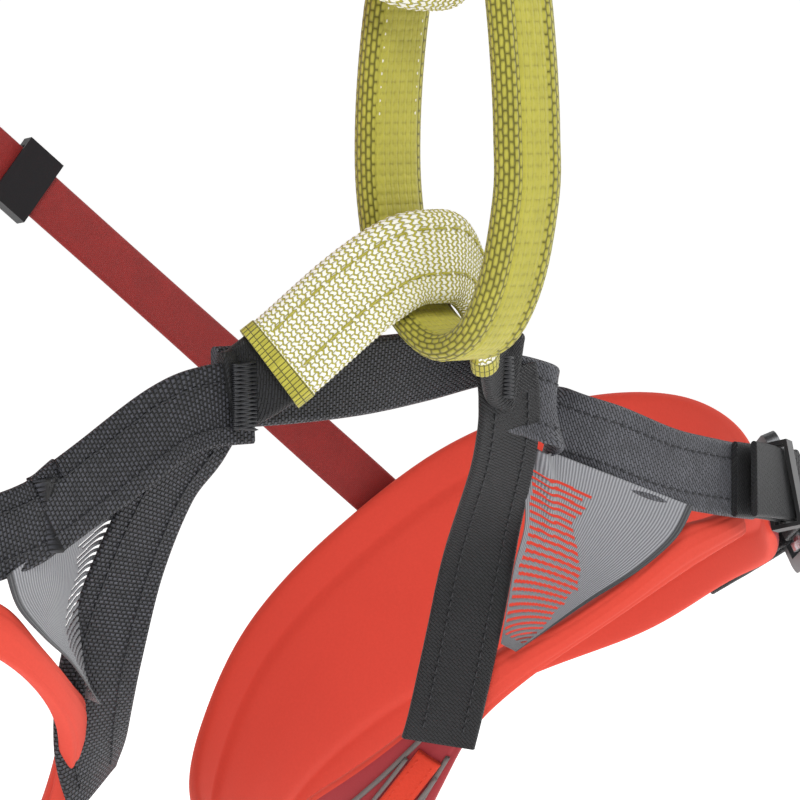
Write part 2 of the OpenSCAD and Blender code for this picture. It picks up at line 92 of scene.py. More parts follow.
# %% Lamps, sky and floor
def lamp(name, place, size, power, colour=(1.0, 1.0, 1.0)):
    """A square area lamp at a place in metres, turned to face the aim of the camera."""
    data = bpy.data.lights.new(name, "AREA")
    data.shape, data.size, data.energy, data.color = "SQUARE", size, power, colour
    obj = bpy.data.objects.new(name, data)
    bpy.context.scene.collection.objects.link(obj)
    obj.location = place
    obj.rotation_euler = Vector(AIM - np.array(place)).to_track_quat("-Z", "Y").to_euler()


SKY_LIGHT = 0.38
lamp("key_lamp", (-0.9, -1.3, 1.3), 0.8, 24.0)
lamp("side_lamp", (1.7, -0.5, 0.6), 0.9, 12.0)
lamp("back_lamp", (0.4, 1.6, 1.2), 1.0, 10.0)
sky = bpy.data.worlds.new("studio")
sky.use_nodes = True
glow = sky.node_tree.nodes["Background"]
glow.inputs["Color"].default_value = (1.0, 1.0, 1.0, 1.0)
seen = sky.node_tree.nodes.new("ShaderNodeLightPath").outputs["Is Camera Ray"]
power = sky.node_tree.nodes.new("ShaderNodeMath")
power.operation = "MULTIPLY_ADD"
sky.node_tree.links.new(seen, power.inputs[0])
power.inputs[1].default_value, power.inputs[2].default_value = 1.05 - SKY_LIGHT, SKY_LIGHT
sky.node_tree.links.new(power.outputs[0], glow.inputs["Strength"])
bpy.context.scene.world = sky


# %% [markdown]
# ## Small helpers for materials
# Colours are written as the hex values a dyer or a paint maker would give, and one function
# turns them into the linear values that the shader works with. One more adds a node, sets it
# and links it, so that each finish below reads as a short recipe.

# %% Colour and node helpers
def dye(hex_value, alpha=1.0):
    """sRGB hex to linear: each channel c becomes ((c + 0.055) / 1.055) ** 2.4, or c / 12.92 near black."""
    c = np.array([int(hex_value[i:i + 2], 16) for i in (1, 3, 5)]) / 255
    return (*np.where(c <= 0.04045, c / 12.92, ((c + 0.055) / 1.055) ** 2.4), alpha)


def add(tree, kind, options=None, **sockets):
    """Adds a node: options are its settings, and each socket gets a value or a link. _ is a space."""
    node = tree.nodes.new("ShaderNode" + kind)
    for key, value in (options or {}).items():
        setattr(node, key, value)
    for key, value in sockets.items():
        by_number = key[0] == "i" and key[1:].isdigit()
        socket = node.inputs[int(key[1:]) if by_number else key.replace("_", " ")]
        if isinstance(value, bpy.types.NodeSocket):
            tree.links.new(value, socket)
        else:
            socket.default_value = value
    return node


def finish(name, **shader):
    """A new material with constant values on the shader's own sockets. Returns it, its tree and its shader."""
    mat = bpy.data.materials.new(name)
    mat.use_nodes = True
    tree = mat.node_tree
    skin = tree.nodes["Principled BSDF"]
    for key, value in shader.items():
        skin.inputs[key.replace("_", " ")].default_value = value
    return mat, tree, skin


def calc(tree, what, *values):
    """One Math node."""
    return add(tree, "Math", {"operation": what}, **{f"i{n}": v for n, v in enumerate(values)}).outputs[0]


def mixed(tree, share, a, b, how="MIX"):
    """One Mix node for colours: a where share is 0, b where it is 1."""
    return add(tree, "Mix", {"data_type": "RGBA", "blend_type": how}, i0=share, i6=a, i7=b).outputs[2]


def blended(tree, share, a, b):
    """One Mix node for values: a where share is 0, b where it is 1."""
    return add(tree, "Mix", {"data_type": "FLOAT"}, i0=share, i2=a, i3=b).outputs[0]


def ramp(tree, value, low, high):
    """A smooth step of the value from low to high."""
    return add(tree, "MapRange", {"interpolation_type": "SMOOTHSTEP"}, Value=value, i1=low, i2=high).outputs[0]


def toned(tree, colour, tone):
    """The colour times a tone value."""
    grey = add(tree, "CombineColor", Red=tone, Green=tone, Blue=tone).outputs[0]
    return mixed(tree, 1.0, colour, grey, "MULTIPLY")


def raised(tree, skin, height, depth_mm):
    """Sets a bump of a depth in millimetres from a height that runs from 0 to 1."""
    bump = add(tree, "Bump", Strength=1.0, Distance=depth_mm * MM, Height=height)
    tree.links.new(bump.outputs["Normal"], skin.inputs["Normal"])


# %% [markdown]
# ## Woven webbing
# Polyester webbing is a weave of thick multi-filament yarns. At arm's length the eye sees rows of
# short floats with shaded pockets between them, so a running-bond brick pattern, laid along the
# band's own UV map in millimetres, gives the yarns, their small colour shifts, and the pockets,
# whose dark colour is painted shade.

# %% Woven webbing finishes
def woven(name, yarn, other, pocket_shade, float_mm, row_mm, turn=0.0, pocket_mm=0.22, depth=0.25,
          rough=0.7, sheen=0.25):
    """Yarn floats of float_mm by row_mm, turned on the band by an angle in degrees, with pockets between them in
    a dark colour that is painted shade.
    """
    mat, tree, skin = finish(name, Roughness=rough, Sheen_Weight=sheen, Sheen_Roughness=0.5,
                             Specular_IOR_Level=0.35)
    place = add(tree, "TexCoord").outputs["UV"]
    laid = add(tree, "Mapping", Vector=place, Rotation=(0.0, 0.0, np.radians(turn))).outputs[0]
    # The mortar colour is painted shade in the pockets between the yarn floats; the mortar also sets the bump.
    floats = add(tree, "TexBrick", {"offset": 0.5, "offset_frequency": 2}, Vector=laid, Scale=1000.0,
                 Color1=dye(yarn), Color2=dye(other), Mortar=dye(pocket_shade), Mortar_Size=pocket_mm,
                 Mortar_Smooth=0.9, Brick_Width=float_mm, Row_Height=row_mm)
    cloud = add(tree, "TexNoise", Vector=place, Scale=110.0, Detail=4.0, Roughness=0.6).outputs[0]
    worn = calc(tree, "MULTIPLY_ADD", cloud, 0.5, 0.75)
    tree.links.new(toned(tree, floats.outputs["Color"], worn), skin.inputs["Base Color"])
    raised(tree, skin, calc(tree, "SUBTRACT", 1.0, floats.outputs["Fac"]), depth)
    return mat


# In each webbing below, the fourth colour is painted shade for the pockets between the yarns.
DARK_TWILL = woven("polyester_webbing_twill", "#1a1b1f", "#131417", "#050506", 2.4, 0.8,
                   turn=38, pocket_mm=0.2, depth=0.4, rough=0.5, sheen=0.06)
DARK_RIB = woven("polyester_webbing_ribbed", "#4a4b53", "#36373d", "#050506", 1.45, 1.15,
                 pocket_mm=0.36, depth=0.7, rough=0.45, sheen=0.05)
# The grey twill is a copy of the dark twill whose lighter grey is painted sheen from the key light.
GREY_SHEEN_TWILL = woven("polyester_webbing_grey_painted_sheen", "#5b5c63", "#4b4c52", "#202125", 2.6, 0.8,
                   turn=-42, pocket_mm=0.2, depth=0.4, rough=0.5, sheen=0.08)
RED_ELASTIC = woven("knitted_elastic_red", "#8f1611", "#86140f", "#6d0f0b", 0.9, 0.5,
                    pocket_mm=0.06, depth=0.05, rough=0.6)
BLACK_ELASTIC = woven("knitted_elastic_black", "#1c1d20", "#232427", "#0c0c0e", 1.0, 0.6,
                      pocket_mm=0.14, depth=0.2)


# %% [markdown]
# ## The belay webbing
# The belay loop is three plies of high-strength webbing. Its faces have faint ribs in rows, its
# rolled edges show longer staggered floats, and a sewn channel runs between them. The band's UV
# map says how far a point is from the middle of the face, so the finish can tell them apart.

# %% Belay webbing finish
FLOAT_LONG, FLOAT_WIDE, RIB_ROW, RIB_WIDE = 3.2, 1.45, 2.8, 0.9
FACE_HALF, EDGE_END = 7.4, 20.0


def belay_finish():
    """Edge floats |sin(pi (v / long + n / 2))| sin(pi u / wide) in column n. The face has the same floats,
    fainter, with rows |sin(pi v / row)| between them."""
    mat, tree, skin = finish("polyamide_belay_webbing", Roughness=0.6, Sheen_Weight=0.12, Specular_IOR_Level=0.4)
    place = add(tree, "TexCoord").outputs["UV"]
    loose = add(tree, "TexNoise", Vector=place, Scale=330.0, Detail=2.0).outputs["Color"]
    drift = add(tree, "VectorMath", {"operation": "MULTIPLY_ADD"}, i0=loose, i1=(0.35 * MM,) * 3,
                i2=place).outputs[0]
    uv = add(tree, "SeparateXYZ", Vector=drift)
    u = calc(tree, "MULTIPLY", uv.outputs[0], 1 / (FLOAT_WIDE * MM))
    column = calc(tree, "FLOOR", u)
    across = calc(tree, "SINE", calc(tree, "MULTIPLY", calc(tree, "FRACT", u), np.pi))
    v = calc(tree, "MULTIPLY_ADD", column, 0.5, calc(tree, "MULTIPLY", uv.outputs[1], 1 / (FLOAT_LONG * MM)))
    along = calc(tree, "ABSOLUTE", calc(tree, "SINE", calc(tree, "MULTIPLY", v, np.pi)))
    edge = calc(tree, "MULTIPLY", calc(tree, "POWER", across, 0.7), calc(tree, "POWER", along, 0.6))
    row, rib = (calc(tree, "ABSOLUTE", calc(tree, "SINE", calc(tree, "MULTIPLY", way, np.pi / (size * MM))))
                for way, size in ((uv.outputs[1], RIB_ROW), (uv.outputs[0], RIB_WIDE)))
    ribs = calc(tree, "MULTIPLY_ADD", row, 0.22, calc(tree, "MULTIPLY_ADD", rib, 0.12, 0.42))
    face = calc(tree, "MULTIPLY_ADD", edge, 0.28, ribs)
    apart = calc(tree, "ABSOLUTE", add(tree, "SeparateXYZ", Vector=place).outputs[0])
    on_edge = calc(tree, "MULTIPLY", calc(tree, "GREATER_THAN", apart, FACE_HALF * MM),
                   calc(tree, "LESS_THAN", apart, EDGE_END * MM))
    high = blended(tree, on_edge, face, edge)
    # The colour follows the height of the weave: the dark olive is painted shade in the hollows, and the light
    # yellow is a painted highlight on the raised floats and ribs.
    light = ramp(tree, high, 0.1, 0.85)
    cloud = add(tree, "TexNoise", Vector=place, Scale=160.0, Detail=3.0).outputs[0]
    tone = calc(tree, "MULTIPLY_ADD", cloud, 0.35, 0.8)
    tree.links.new(toned(tree, mixed(tree, light, dye("#69640f"), dye("#b0a93e")), tone),
                   skin.inputs["Base Color"])
    raised(tree, skin, high, 0.45)
    return mat


BELAY_WEB = belay_finish()


# %% [markdown]
# ## The woven sleeve
# The sleeve over each tie-in loop is a tube woven with white yarn floats over a yellow-green
# ground. Near its ends the white stops, and a plain ribbed hem is left. The UV map runs along
# the sleeve from zero at its middle, so the finish knows where the hem begins.

# %% Sleeve finish
SLEEVE_DOT = 1.6


def sleeve_finish(half_length):
    """Columns of white floats with a green zigzag between them, and a plain green ribbed hem and lining.
    The column number is v / pitch + 0.16 sin(2 pi u / pitch), and the last third of each is green."""
    mat, tree, skin = finish("jacquard_sleeve_white_green", Roughness=0.65, Sheen_Weight=0.2,
                             Specular_IOR_Level=0.35)
    place = add(tree, "TexCoord").outputs["UV"]
    uv = add(tree, "SeparateXYZ", Vector=place)
    u = calc(tree, "MULTIPLY", uv.outputs[0], 1 / (SLEEVE_DOT * MM))
    v = calc(tree, "MULTIPLY", uv.outputs[1], 1 / (SLEEVE_DOT * MM))
    wander = add(tree, "TexNoise", Vector=place, Scale=260.0, Detail=1.0).outputs[0]
    wave = calc(tree, "MULTIPLY_ADD", calc(tree, "SINE", calc(tree, "MULTIPLY", u, 2 * np.pi)), 0.16,
                calc(tree, "MULTIPLY_ADD", wander, 0.5, v))
    column = calc(tree, "FLOOR", wave)
    green = ramp(tree, calc(tree, "FRACT", wave), 0.6, 0.74)
    yarn = calc(tree, "FRACT", calc(tree, "MULTIPLY_ADD", column, 0.5, u))
    gap = ramp(tree, yarn, 0.78, 0.97)
    white = mixed(tree, gap, dye("#f1f0e6"), dye("#a9a45a"))
    body = mixed(tree, green, white, dye("#aea63c"))
    # The dark mortar colour between the hem's ribs is painted shade in their grooves.
    rib = add(tree, "TexBrick", {"offset": 0.0}, Vector=place, Scale=1000.0, Color1=dye("#b9b243"),
              Color2=dye("#aaa33a"), Mortar=dye("#66611a"), Mortar_Size=0.16, Mortar_Smooth=0.9,
              Brick_Width=1.2, Row_Height=2.6)
    on_hem = calc(tree, "GREATER_THAN", calc(tree, "ABSOLUTE", uv.outputs[1]), (half_length - 5.0) * MM)
    lining = calc(tree, "LESS_THAN", calc(tree, "ABSOLUTE", uv.outputs[0]), 13.0 * MM)
    plain = calc(tree, "MAXIMUM", on_hem, lining)
    tree.links.new(mixed(tree, plain, body, rib.outputs["Color"]), skin.inputs["Base Color"])
    dots = calc(tree, "MULTIPLY", calc(tree, "SUBTRACT", 1.0, green), calc(tree, "SUBTRACT", 1.0, gap))
    high = blended(tree, plain, dots, calc(tree, "SUBTRACT", 1.0, rib.outputs["Fac"]))
    raised(tree, skin, high, 0.45)
    return mat


# %% [markdown]
# ## Foam, face cloth, thread, mesh and metal
# The pads are closed-cell foam, heat-moulded with a thin knit skin, so they are matt with a soft
# bloom and hardly any grain. The outside is a tight plain-weave nylon. Thread is a shiny twisted
# filament. The hardware is anodised or zinc plated, with fine tumbling marks.

# %% Foam, cloth and thread finishes
def moulded(name, colour, shade, grain_mm, depth, rough=0.75, sheen=0.35, tint="#ff9c8c"):
    """A skin with two octaves of noise: a broad tone and a fine grain of grain_mm."""
    mat, tree, skin = finish(name, Roughness=rough, Sheen_Weight=sheen, Sheen_Roughness=0.6,
                             Sheen_Tint=dye(tint), Specular_IOR_Level=0.25)
    place = add(tree, "TexCoord").outputs["Object"]
    broad = add(tree, "TexNoise", Vector=place, Scale=18.0, Detail=3.0).outputs[0]
    fine = add(tree, "TexNoise", Vector=place, Scale=1.0 / (grain_mm * MM), Detail=2.0).outputs[0]
    share = calc(tree, "ADD", calc(tree, "MULTIPLY", broad, 0.5), calc(tree, "MULTIPLY", fine, 0.35))
    tree.links.new(mixed(tree, share, dye(colour), dye(shade)), skin.inputs["Base Color"])
    raised(tree, skin, fine, depth)
    return mat


FOAM = moulded("moulded_foam_coral_knit_skin", "#dc4837", "#c23a2b", 0.9, 0.04, sheen=0.18)
SHELL = moulded("nylon_face_cloth_burgundy", "#a02a30", "#86222a", 0.6, 0.06, rough=0.6, sheen=0.3,
                tint="#d98a8a")
PIPING = moulded("flat_piping_grey", "#77706e", "#5e5855", 0.8, 0.08, sheen=0.2, tint="#bbbbbb")
TAPE = moulded("stitched_tape_orange", "#d8391d", "#b82c14", 0.7, 0.12)


def thread(name, colour, lit):
    """Twisted thread: fine noise between its colour and lit, a lighter colour that is a painted highlight where
    the twist glints.
    """
    mat, tree, skin = finish(name, Roughness=0.5, Specular_IOR_Level=0.5)
    place = add(tree, "TexCoord").outputs["Object"]
    twist_glint = add(tree, "TexNoise", Vector=place, Scale=1800.0, Detail=2.0).outputs[0]
    tree.links.new(mixed(tree, twist_glint, dye(colour), dye(lit)), skin.inputs["Base Color"])
    return mat


# The second colour of each thread is its painted highlight.
DARK_THREAD = thread("bonded_thread_black", "#0e0f12", "#2a2b30")
GREEN_THREAD = thread("bonded_thread_green", "#968f24", "#b8b148")
PALE_THREAD = thread("bonded_thread_pale", "#c9c8b4", "#f2f1e6")


def metal(name, colour, rough, grain_mm, depth):
    """Metal with fine tumbling marks that vary the gloss."""
    mat, tree, skin = finish(name, Metallic=1.0)
    place = add(tree, "TexCoord").outputs["Object"]
    marks = add(tree, "TexNoise", Vector=place, Scale=1.0 / (grain_mm * MM), Detail=4.0).outputs[0]
    tree.links.new(mixed(tree, 0.15, dye(colour), marks), skin.inputs["Base Color"])
    tree.links.new(calc(tree, "MULTIPLY_ADD", marks, 0.25, rough - 0.12), skin.inputs["Roughness"])
    raised(tree, skin, marks, depth)
    return mat


ANODISED = metal("anodised_aluminium_dark", "#2b2d31", 0.38, 0.5, 0.01)
ZINC = metal("zinc_plated_steel", "#c4c6ca", 0.3, 0.6, 0.01)
NYLON = moulded("moulded_nylon_black", "#1d1e21", "#131416", 0.5, 0.03, rough=0.45, sheen=0.05, tint="#888888")


# %% [markdown]
# ## From a drawing to a surface
# Every strap is a profile carried along a path. The path is a smooth curve through a few
# stations, each with the direction of the band's width, as a tailor pins tape to a form. The
# profile is a rounded rectangle. Both are whole numpy arrays, and one function turns a grid of
# rings into a mesh whose UV map is in metres: across the band, and along it.

# %% Paths, profiles and grids
def unit(v):
    """Each vector divided by its length."""
    return v / np.linalg.norm(v, axis=-1, keepdims=True)


def smooth(stations, step=1.0, loop=False):
    """A Catmull-Rom curve through the stations, resampled so that points are step mm apart."""
    p = np.asarray(stations, float)
    ends = np.vstack([p[-1:], p, p[:2]]) if loop else np.vstack([p[:1], p, p[-1:]])
    a, b, c, d = (ends[n:len(ends) - 3 + n, None] for n in range(4))
    u = np.linspace(0, 1, 24, endpoint=False)[None, :, None]
    curve = 0.5 * (2 * b + (c - a) * u + (2 * a - 5 * b + 4 * c - d) * u ** 2
                   + (3 * b - a - 3 * c + d) * u ** 3)
    curve = np.vstack([curve.reshape(-1, p.shape[1]), p[:1] if loop else p[-1:]])
    gone = np.r_[0, np.cumsum(np.linalg.norm(np.diff(curve[:, :3], axis=0), axis=1))]
    at = np.linspace(0, gone[-1], max(3, int(np.ceil(gone[-1] / step)) + 1))
    dense = np.stack([np.interp(at, gone, curve[:, n]) for n in range(p.shape[1])], 1)
    return (dense[:-1], at) if loop else (dense, at)


def lay_out(stations, step=1.0, loop=False):
    """Path points P, forward T, width W and face N = T x W, with the length so far."""
    s, at = smooth(stations, step, loop)
    P, W = s[:, :3], s[:, 3:6]
    T = unit(np.roll(P, -1, 0) - np.roll(P, 1, 0)) if loop else unit(np.gradient(P, axis=0))
    W = unit(W - np.sum(W * T, 1, keepdims=True) * T)
    return {"P": P, "T": T, "W": W, "N": np.cross(T, W), "at": at, "loop": loop}


def web_profile(w, t, step=0.9, crown=0.0, bead=0.0):
    """A closed outline round a band: flat or crowned faces and round edges, from the middle of the underside.
    Gives points (across, out) and the distance round from the middle of the top face."""
    r = t / 2
    n = max(4, int(w / step))
    x = np.linspace(-(w / 2 - r), w / 2 - r, n)
    turn = np.linspace(-np.pi / 2, np.pi / 2, 8)[1:-1]
    face = r + crown * (1 - (2 * x / w) ** 2) + bead * np.exp(-((np.abs(x) - w / 2 + 1.2) / 0.8) ** 2)
    right = np.stack([w / 2 - r + r * np.cos(turn), r * np.sin(turn)], 1)
    outline = np.vstack([np.stack([x, -face], 1), right, np.stack([x[::-1], face[::-1]], 1), -right])
    half = n // 2
    outline = np.roll(outline, -half, axis=0)
    ring = np.vstack([outline, outline[:1]])
    gone = np.r_[0, np.cumsum(np.linalg.norm(np.diff(ring, axis=0), axis=1))]
    top = np.argmin(np.abs(outline[:, 0]) + 10 * (outline[:, 1] < 0))
    return outline, gone - gone[top]


def rings_of(path, outline):
    """Every ring of the sweep: P + across * W + out * N."""
    return (path["P"][:, None] + outline[None, :, :1] * path["W"][:, None]
            + outline[None, :, 1:] * path["N"][:, None])


def from_rings(name, rings, around, along, side=1, loop=False, mats=(), zone=None):
    """A mesh from rings of points (ring, point, xyz) in mm: quads between the rings, and a flat cap on each end.
    around and along are the UV in mm. side -1 mirrors it in x and turns its faces to suit."""
    k, m, _ = rings.shape
    verts = rings.reshape(-1, 3) * MM * np.array([side, 1, 1])
    i, j = np.meshgrid(np.arange(k if loop else k - 1), np.arange(m), indexing="ij")
    nxt, beside = (i + 1) % k, (j + 1) % m
    quads = np.stack([i * m + j, i * m + beside, nxt * m + beside, nxt * m + j], -1).reshape(-1, 4)
    spread = np.stack([around[j], along[i], around[j + 1], along[i], around[j + 1], along[i + 1],
                       around[j], along[i + 1]], -1).reshape(-1, 4, 2)
    if side < 0:
        quads, spread = quads[:, ::-1], spread[:, ::-1]
    polys, spreads = quads.tolist(), [spread.reshape(-1, 2)]
    if not loop:
        first, last = np.arange(m)[::-1], (k - 1) * m + np.arange(m)
        caps = [first[::-1], last[::-1]] if side < 0 else [first, last]
        polys += [c.tolist() for c in caps]
        spreads += [np.stack([around[c % m], np.full(m, end)], 1) for c, end in zip(caps, (along[0], along[-1]))]
    mesh = bpy.data.meshes.new(name)
    mesh.from_pydata(verts, [], polys)
    mesh.uv_layers.new(name="weave").data.foreach_set("uv", (np.vstack(spreads) * MM).ravel())
    ends = len(polys) - len(quads)
    mesh.polygons.foreach_set("use_smooth", [True] * len(quads) + [False] * ends)
    for mat in mats:
        mesh.materials.append(mat)
    if zone is not None:
        mesh.polygons.foreach_set("material_index", np.r_[zone.ravel(), np.zeros(ends)].astype(int))
    mesh.update()
    obj = bpy.data.objects.new(name, mesh)
    bpy.context.scene.collection.objects.link(obj)
    return obj


def relief(rings, height, loop=False):
    """Moves every point by height mm along the normal, the cross product of the grid's two directions."""
    round_way = np.roll(rings, -1, 1) - np.roll(rings, 1, 1)
    ahead = np.roll(rings, -1, 0) - np.roll(rings, 1, 0) if loop else np.gradient(rings, axis=0)
    return rings + height[..., None] * unit(np.cross(round_way, ahead))


made = []


def settle(obj, body, slot, *nodes):
    """The piece rides on a body, if one is given, and stands for the CAD nodes that it replaces. slot is not
    used.
    """
    if body:
        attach(obj, body)
    if nodes:
        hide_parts(*nodes)
    made.append(obj)
    return obj


def strap(name, stations, w, t, mat, side=1, step=1.0, loop=False, crown=0.15, bead=0.1):
    """A band of webbing along its stations. Returns the piece and its path."""
    path = lay_out(stations, step, loop)
    outline, around = web_profile(w, t, crown=crown, bead=bead)
    obj = from_rings(name, rings_of(path, outline), around, path["at"], side, loop, (mat,))
    return obj, path


# %% [markdown]
# ## Stitches
# Load webbing is held by rows of lockstitch: short, tight, shiny dashes that bite into the web.
# One dash is a small closed lozenge of 24 faces, and a row is that lozenge placed at every pitch
# along a path, all in one array.

# %% One lozenge, many stitches
def lozenge(length, thick):
    """Six points round each of three rings and a tip at each end: (along, across, up) in mm."""
    turn = np.arange(6) * np.pi / 3
    ring = np.stack([np.zeros(6), np.cos(turn), np.sin(turn)], 1)
    body = [ring * [1, r * thick / 2, r * thick / 2] + [x * length / 2, 0, z * thick]
            for x, r, z in ((-0.7, 0.8, 0.0), (0.0, 1.0, 0.12), (0.7, 0.8, 0.0))]
    pts = np.vstack([*body, [[-length / 2, 0, -0.3 * thick]], [[length / 2, 0, -0.3 * thick]]])
    n = np.arange(6)
    m = (n + 1) % 6
    quads = np.vstack([np.stack([a * 6 + n, (a + 1) * 6 + n, (a + 1) * 6 + m, a * 6 + m], 1) for a in (0, 1)])
    tris = np.vstack([np.stack([np.full(6, 18), n, m], 1), np.stack([np.full(6, 19), 12 + m, 12 + n], 1)])
    return pts, quads, tris


def place_many(name, shape, P, X, Y, Z, mat, side=1):
    """The same small shape at every place P, turned so that its axes lie along X, Y and Z."""
    pts, quads, tris = shape
    all_pts = (P[:, None] + pts[None, :, :1] * X[:, None] + pts[None, :, 1:2] * Y[:, None]
               + pts[None, :, 2:] * Z[:, None]).reshape(-1, 3) * MM * np.array([side, 1, 1])
    shift = (np.arange(len(P)) * len(pts))[:, None, None]
    q, t = (quads[None] + shift).reshape(-1, 4), (tris[None] + shift).reshape(-1, 3)
    if side < 0:
        q, t = q[:, ::-1], t[:, ::-1]
    mesh = bpy.data.meshes.new(name)
    mesh.from_pydata(all_pts, [], q.tolist() + t.tolist())
    mesh.polygons.foreach_set("use_smooth", [True] * len(mesh.polygons))
    mesh.materials.append(mat)
    obj = bpy.data.objects.new(name, mesh)
    bpy.context.scene.collection.objects.link(obj)
    return obj


def sew(name, path, rows, out, mat, side=1, pitch=3.0, length=2.3, thick=0.55, start=3.0, stop=3.0, faces=(1,)):
    """Rows of stitches at distances across the band, on the top face (1), the underside (-1) or both."""
    at = path["at"][:len(path["P"])]
    spots = np.arange(at[0] + start, path["at"][-1] - stop, pitch)
    P, T, W, N = (np.stack([np.interp(spots, at, path[key][:, n]) for n in range(3)], 1) for key in "PTWN")
    parts = [(P + x * W + f * out * N, T, W * f, N * f) for x in rows for f in faces]
    P, X, Y, Z = (np.vstack([p[n] for p in parts]) for n in range(4))
    return place_many(name, lozenge(length, thick), P, unit(X), unit(Y), unit(Z), mat, side)


print("materials:", len(bpy.data.materials))


# %% [markdown]
# ## Rings of the body
# The belt and the leg loops are ellipses. A place on one is an angle, a height and a distance
# out, so a pad or band can be drawn flat and laid on the ring. The leg ring is tilted, and
# turned a little about its own axis, as a thigh sits in it.

# %% Belt and leg rings
TILT, TURN = np.radians(23.0), np.radians(30.0)
LEG_C = np.array([LEG_RX + 49, TIE_Y + LEG_RY + 6, TIE_Z - 86])
LEG_N = np.array([-np.sin(TILT), 0.0, np.cos(TILT)])
_across, _back = np.array([np.cos(TILT), 0.0, np.sin(TILT)]), np.array([0.0, 1.0, 0.0])
LEG_A = np.cos(TURN) * _across + np.sin(TURN) * _back
LEG_B = np.cos(TURN) * _back - np.sin(TURN) * _across


def cs(angle):
    """Cosine and sine of an angle in degrees, each with a last axis for xyz."""
    a = np.radians(np.asarray(angle, float))[..., None]
    return np.cos(a), np.sin(a)


def leg_at(angle, h, out):
    """Centre + (rx + out) cos * A + (ry + out) sin * B + h * axis."""
    c, s = cs(angle)
    h, out = np.asarray(h, float)[..., None], np.asarray(out, float)[..., None]
    return LEG_C + (LEG_RX + out) * c * LEG_A + (LEG_RY + out) * s * LEG_B + h * LEG_N


def leg_out(angle):
    c, s = cs(angle)
    return unit(LEG_RY * c * LEG_A + LEG_RX * s * LEG_B)


def leg_w(angle, fall=0.0):
    """The width of a band that runs down by the angle fall."""
    c, s = cs(angle)
    run = unit(LEG_RY * c * LEG_B - LEG_RX * s * LEG_A)
    f = np.radians(fall)
    return np.cos(f) * LEG_N + np.sin(f) * run


def leg_st(angle, h, out, fall=0.0):
    return np.r_[leg_at(angle, h, out), leg_w(angle, fall)]


def belt_at(angle, h, out):
    """((rx + out) cos, (ry + out) sin, h)."""
    c, s = cs(angle)
    h, out = np.asarray(h, float)[..., None], np.asarray(out, float)[..., None]
    return np.concatenate([(WAIST_RX + out) * c, (WAIST_RY + out) * s, h + 0 * c], -1)


def belt_out(angle):
    c, s = cs(angle)
    return unit(np.concatenate([WAIST_RY * c, WAIST_RX * s, 0 * c], -1))


def belt_st(angle, h, out):
    return np.r_[belt_at(angle, h, out), 0.0, 0.0, 1.0]


def tie(x, y, z, w):
    """A station given from the lower tie-in point."""
    return np.r_[x, TIE_Y + y, TIE_Z + z, w]


# %% [markdown]
# ## Tie-in points
# A tie-in point is a bridge of webbing with an arched loop in front of it. The loop is bar-tacked
# to the bridge at both ends, and wears the woven sleeve where the belay loop rubs.

# %% Bridges, arched loops and their sleeves
ARCH = np.array([[53, -3.6, 3, 0], [46, -4.2, 5, 0], [37, -9, 12, 0.1], [22, -20, 28, 0.18],
                 [10, -26, 36.5, 0.18], [0, -28, 38, 0.18]])
LOOP_T, SLEEVE_T = 3.0, 6.2
HANG_X = -2.0


def arch(up, z):
    """Both halves of the arch as stations: heights times up, widths leaning back."""
    half = np.stack([ARCH[:, 0], TIE_Y + ARCH[:, 1], z + up * ARCH[:, 2], 0 * ARCH[:, 0], up * ARCH[:, 3],
                     1 + 0 * ARCH[:, 0]], 1)
    whole = np.vstack([half, half[-2::-1] * [-1, 1, 1, 1, 1, 1]])
    whole[:, 0] = whole[:, 0] * 0.96 + HANG_X
    return whole


def sleeve(name, stations):
    """The sleeve: the middle of the arch, 25 mm wide, with low columns for the yarn and a thicker hem."""
    path = lay_out(stations, 0.36)
    keep = (path["at"] > 21.0) & (path["at"] < path["at"][-1] - 14.0)
    path = {key: (value[keep] if key != "loop" else value) for key, value in path.items()}
    far = path["at"] - (path["at"][0] + path["at"][-1]) / 2
    outline, around = web_profile(WEB_W + 3.0, SLEEVE_T, step=0.36, crown=0.5)
    half = abs(far[0])
    hem = np.clip((np.abs(far) - half + 5.6) / 0.8, 0, 1)
    u, v = around[:-1][None], far[:, None]
    domes = 0.14 * np.cos(2 * np.pi * (v / SLEEVE_DOT - 0.28)) + 0 * u
    ribs = 0.5 + 0.12 * np.cos(2 * np.pi * u / 1.2) + 0 * v
    height = np.where(hem[:, None] > 0.5, ribs * hem[:, None], domes)
    rings = relief(rings_of(path, outline), height)
    obj = from_rings(name, rings, around, far, mats=(sleeve_finish(half),))
    return obj, path, half


BRIDGE = ((50, 1.0, 4.0, 0.75), (42, 1.5, 3.5, 0.7), (24, 1.5, 2.0, 0.45), (0, 0.8, 0.5, 0.2), (-26, 0.4, 0, 0),
          (-44, 0, 0, 0), (-54, 0, 0, 0))
for level, up, z_arch, z_bridge, body in (("lower", 1, TIE_Z, TIE_Z + 4, "crotch"),
                                          ("upper", -1, 8.0, 0.0, "waist")):
    stations = arch(up, z_arch)
    loop_piece, _ = strap(f"{level}_tie_in_webbing", stations, WEB_W, LOOP_T, DARK_TWILL)
    settle(loop_piece, body, "grey_webbing", f"{level}_tie_in_loop")
    cover, cover_path, cover_half = sleeve(f"{level}_woven_sleeve", stations)
    settle(cover, body, "woven_sleeve", f"{level}_protector")
    seam = sew(f"{level}_sleeve_seam", cover_path, (7.0, -5.0), SLEEVE_T / 2 + 0.62, GREEN_THREAD, pitch=4.6,
               length=4.3, thick=0.75, start=6.0, stop=6.0, faces=(1, -1))
    settle(seam, body, "green_thread")
    base = [[x, TIE_Y + y, z_bridge + up * dz, 0, -up * lean, 1] for x, y, dz, lean in BRIDGE]
    across, _ = strap(f"{level}_bridge_webbing", base, WEB_W, LOOP_T, DARK_RIB, step=0.8, crown=0.0)
    settle(across, body, "grey_webbing", "crotch_bridge" if level == "lower" else "upper_bridge")
    print(level, "sleeve half length", round(float(cover_half), 1), "mm")


# %% [markdown]
# ## Bar tacks
# A bar tack is a dense block of zigzag thread, pulled tight over the webbing so that it looks
# like a small ribbed cushion.

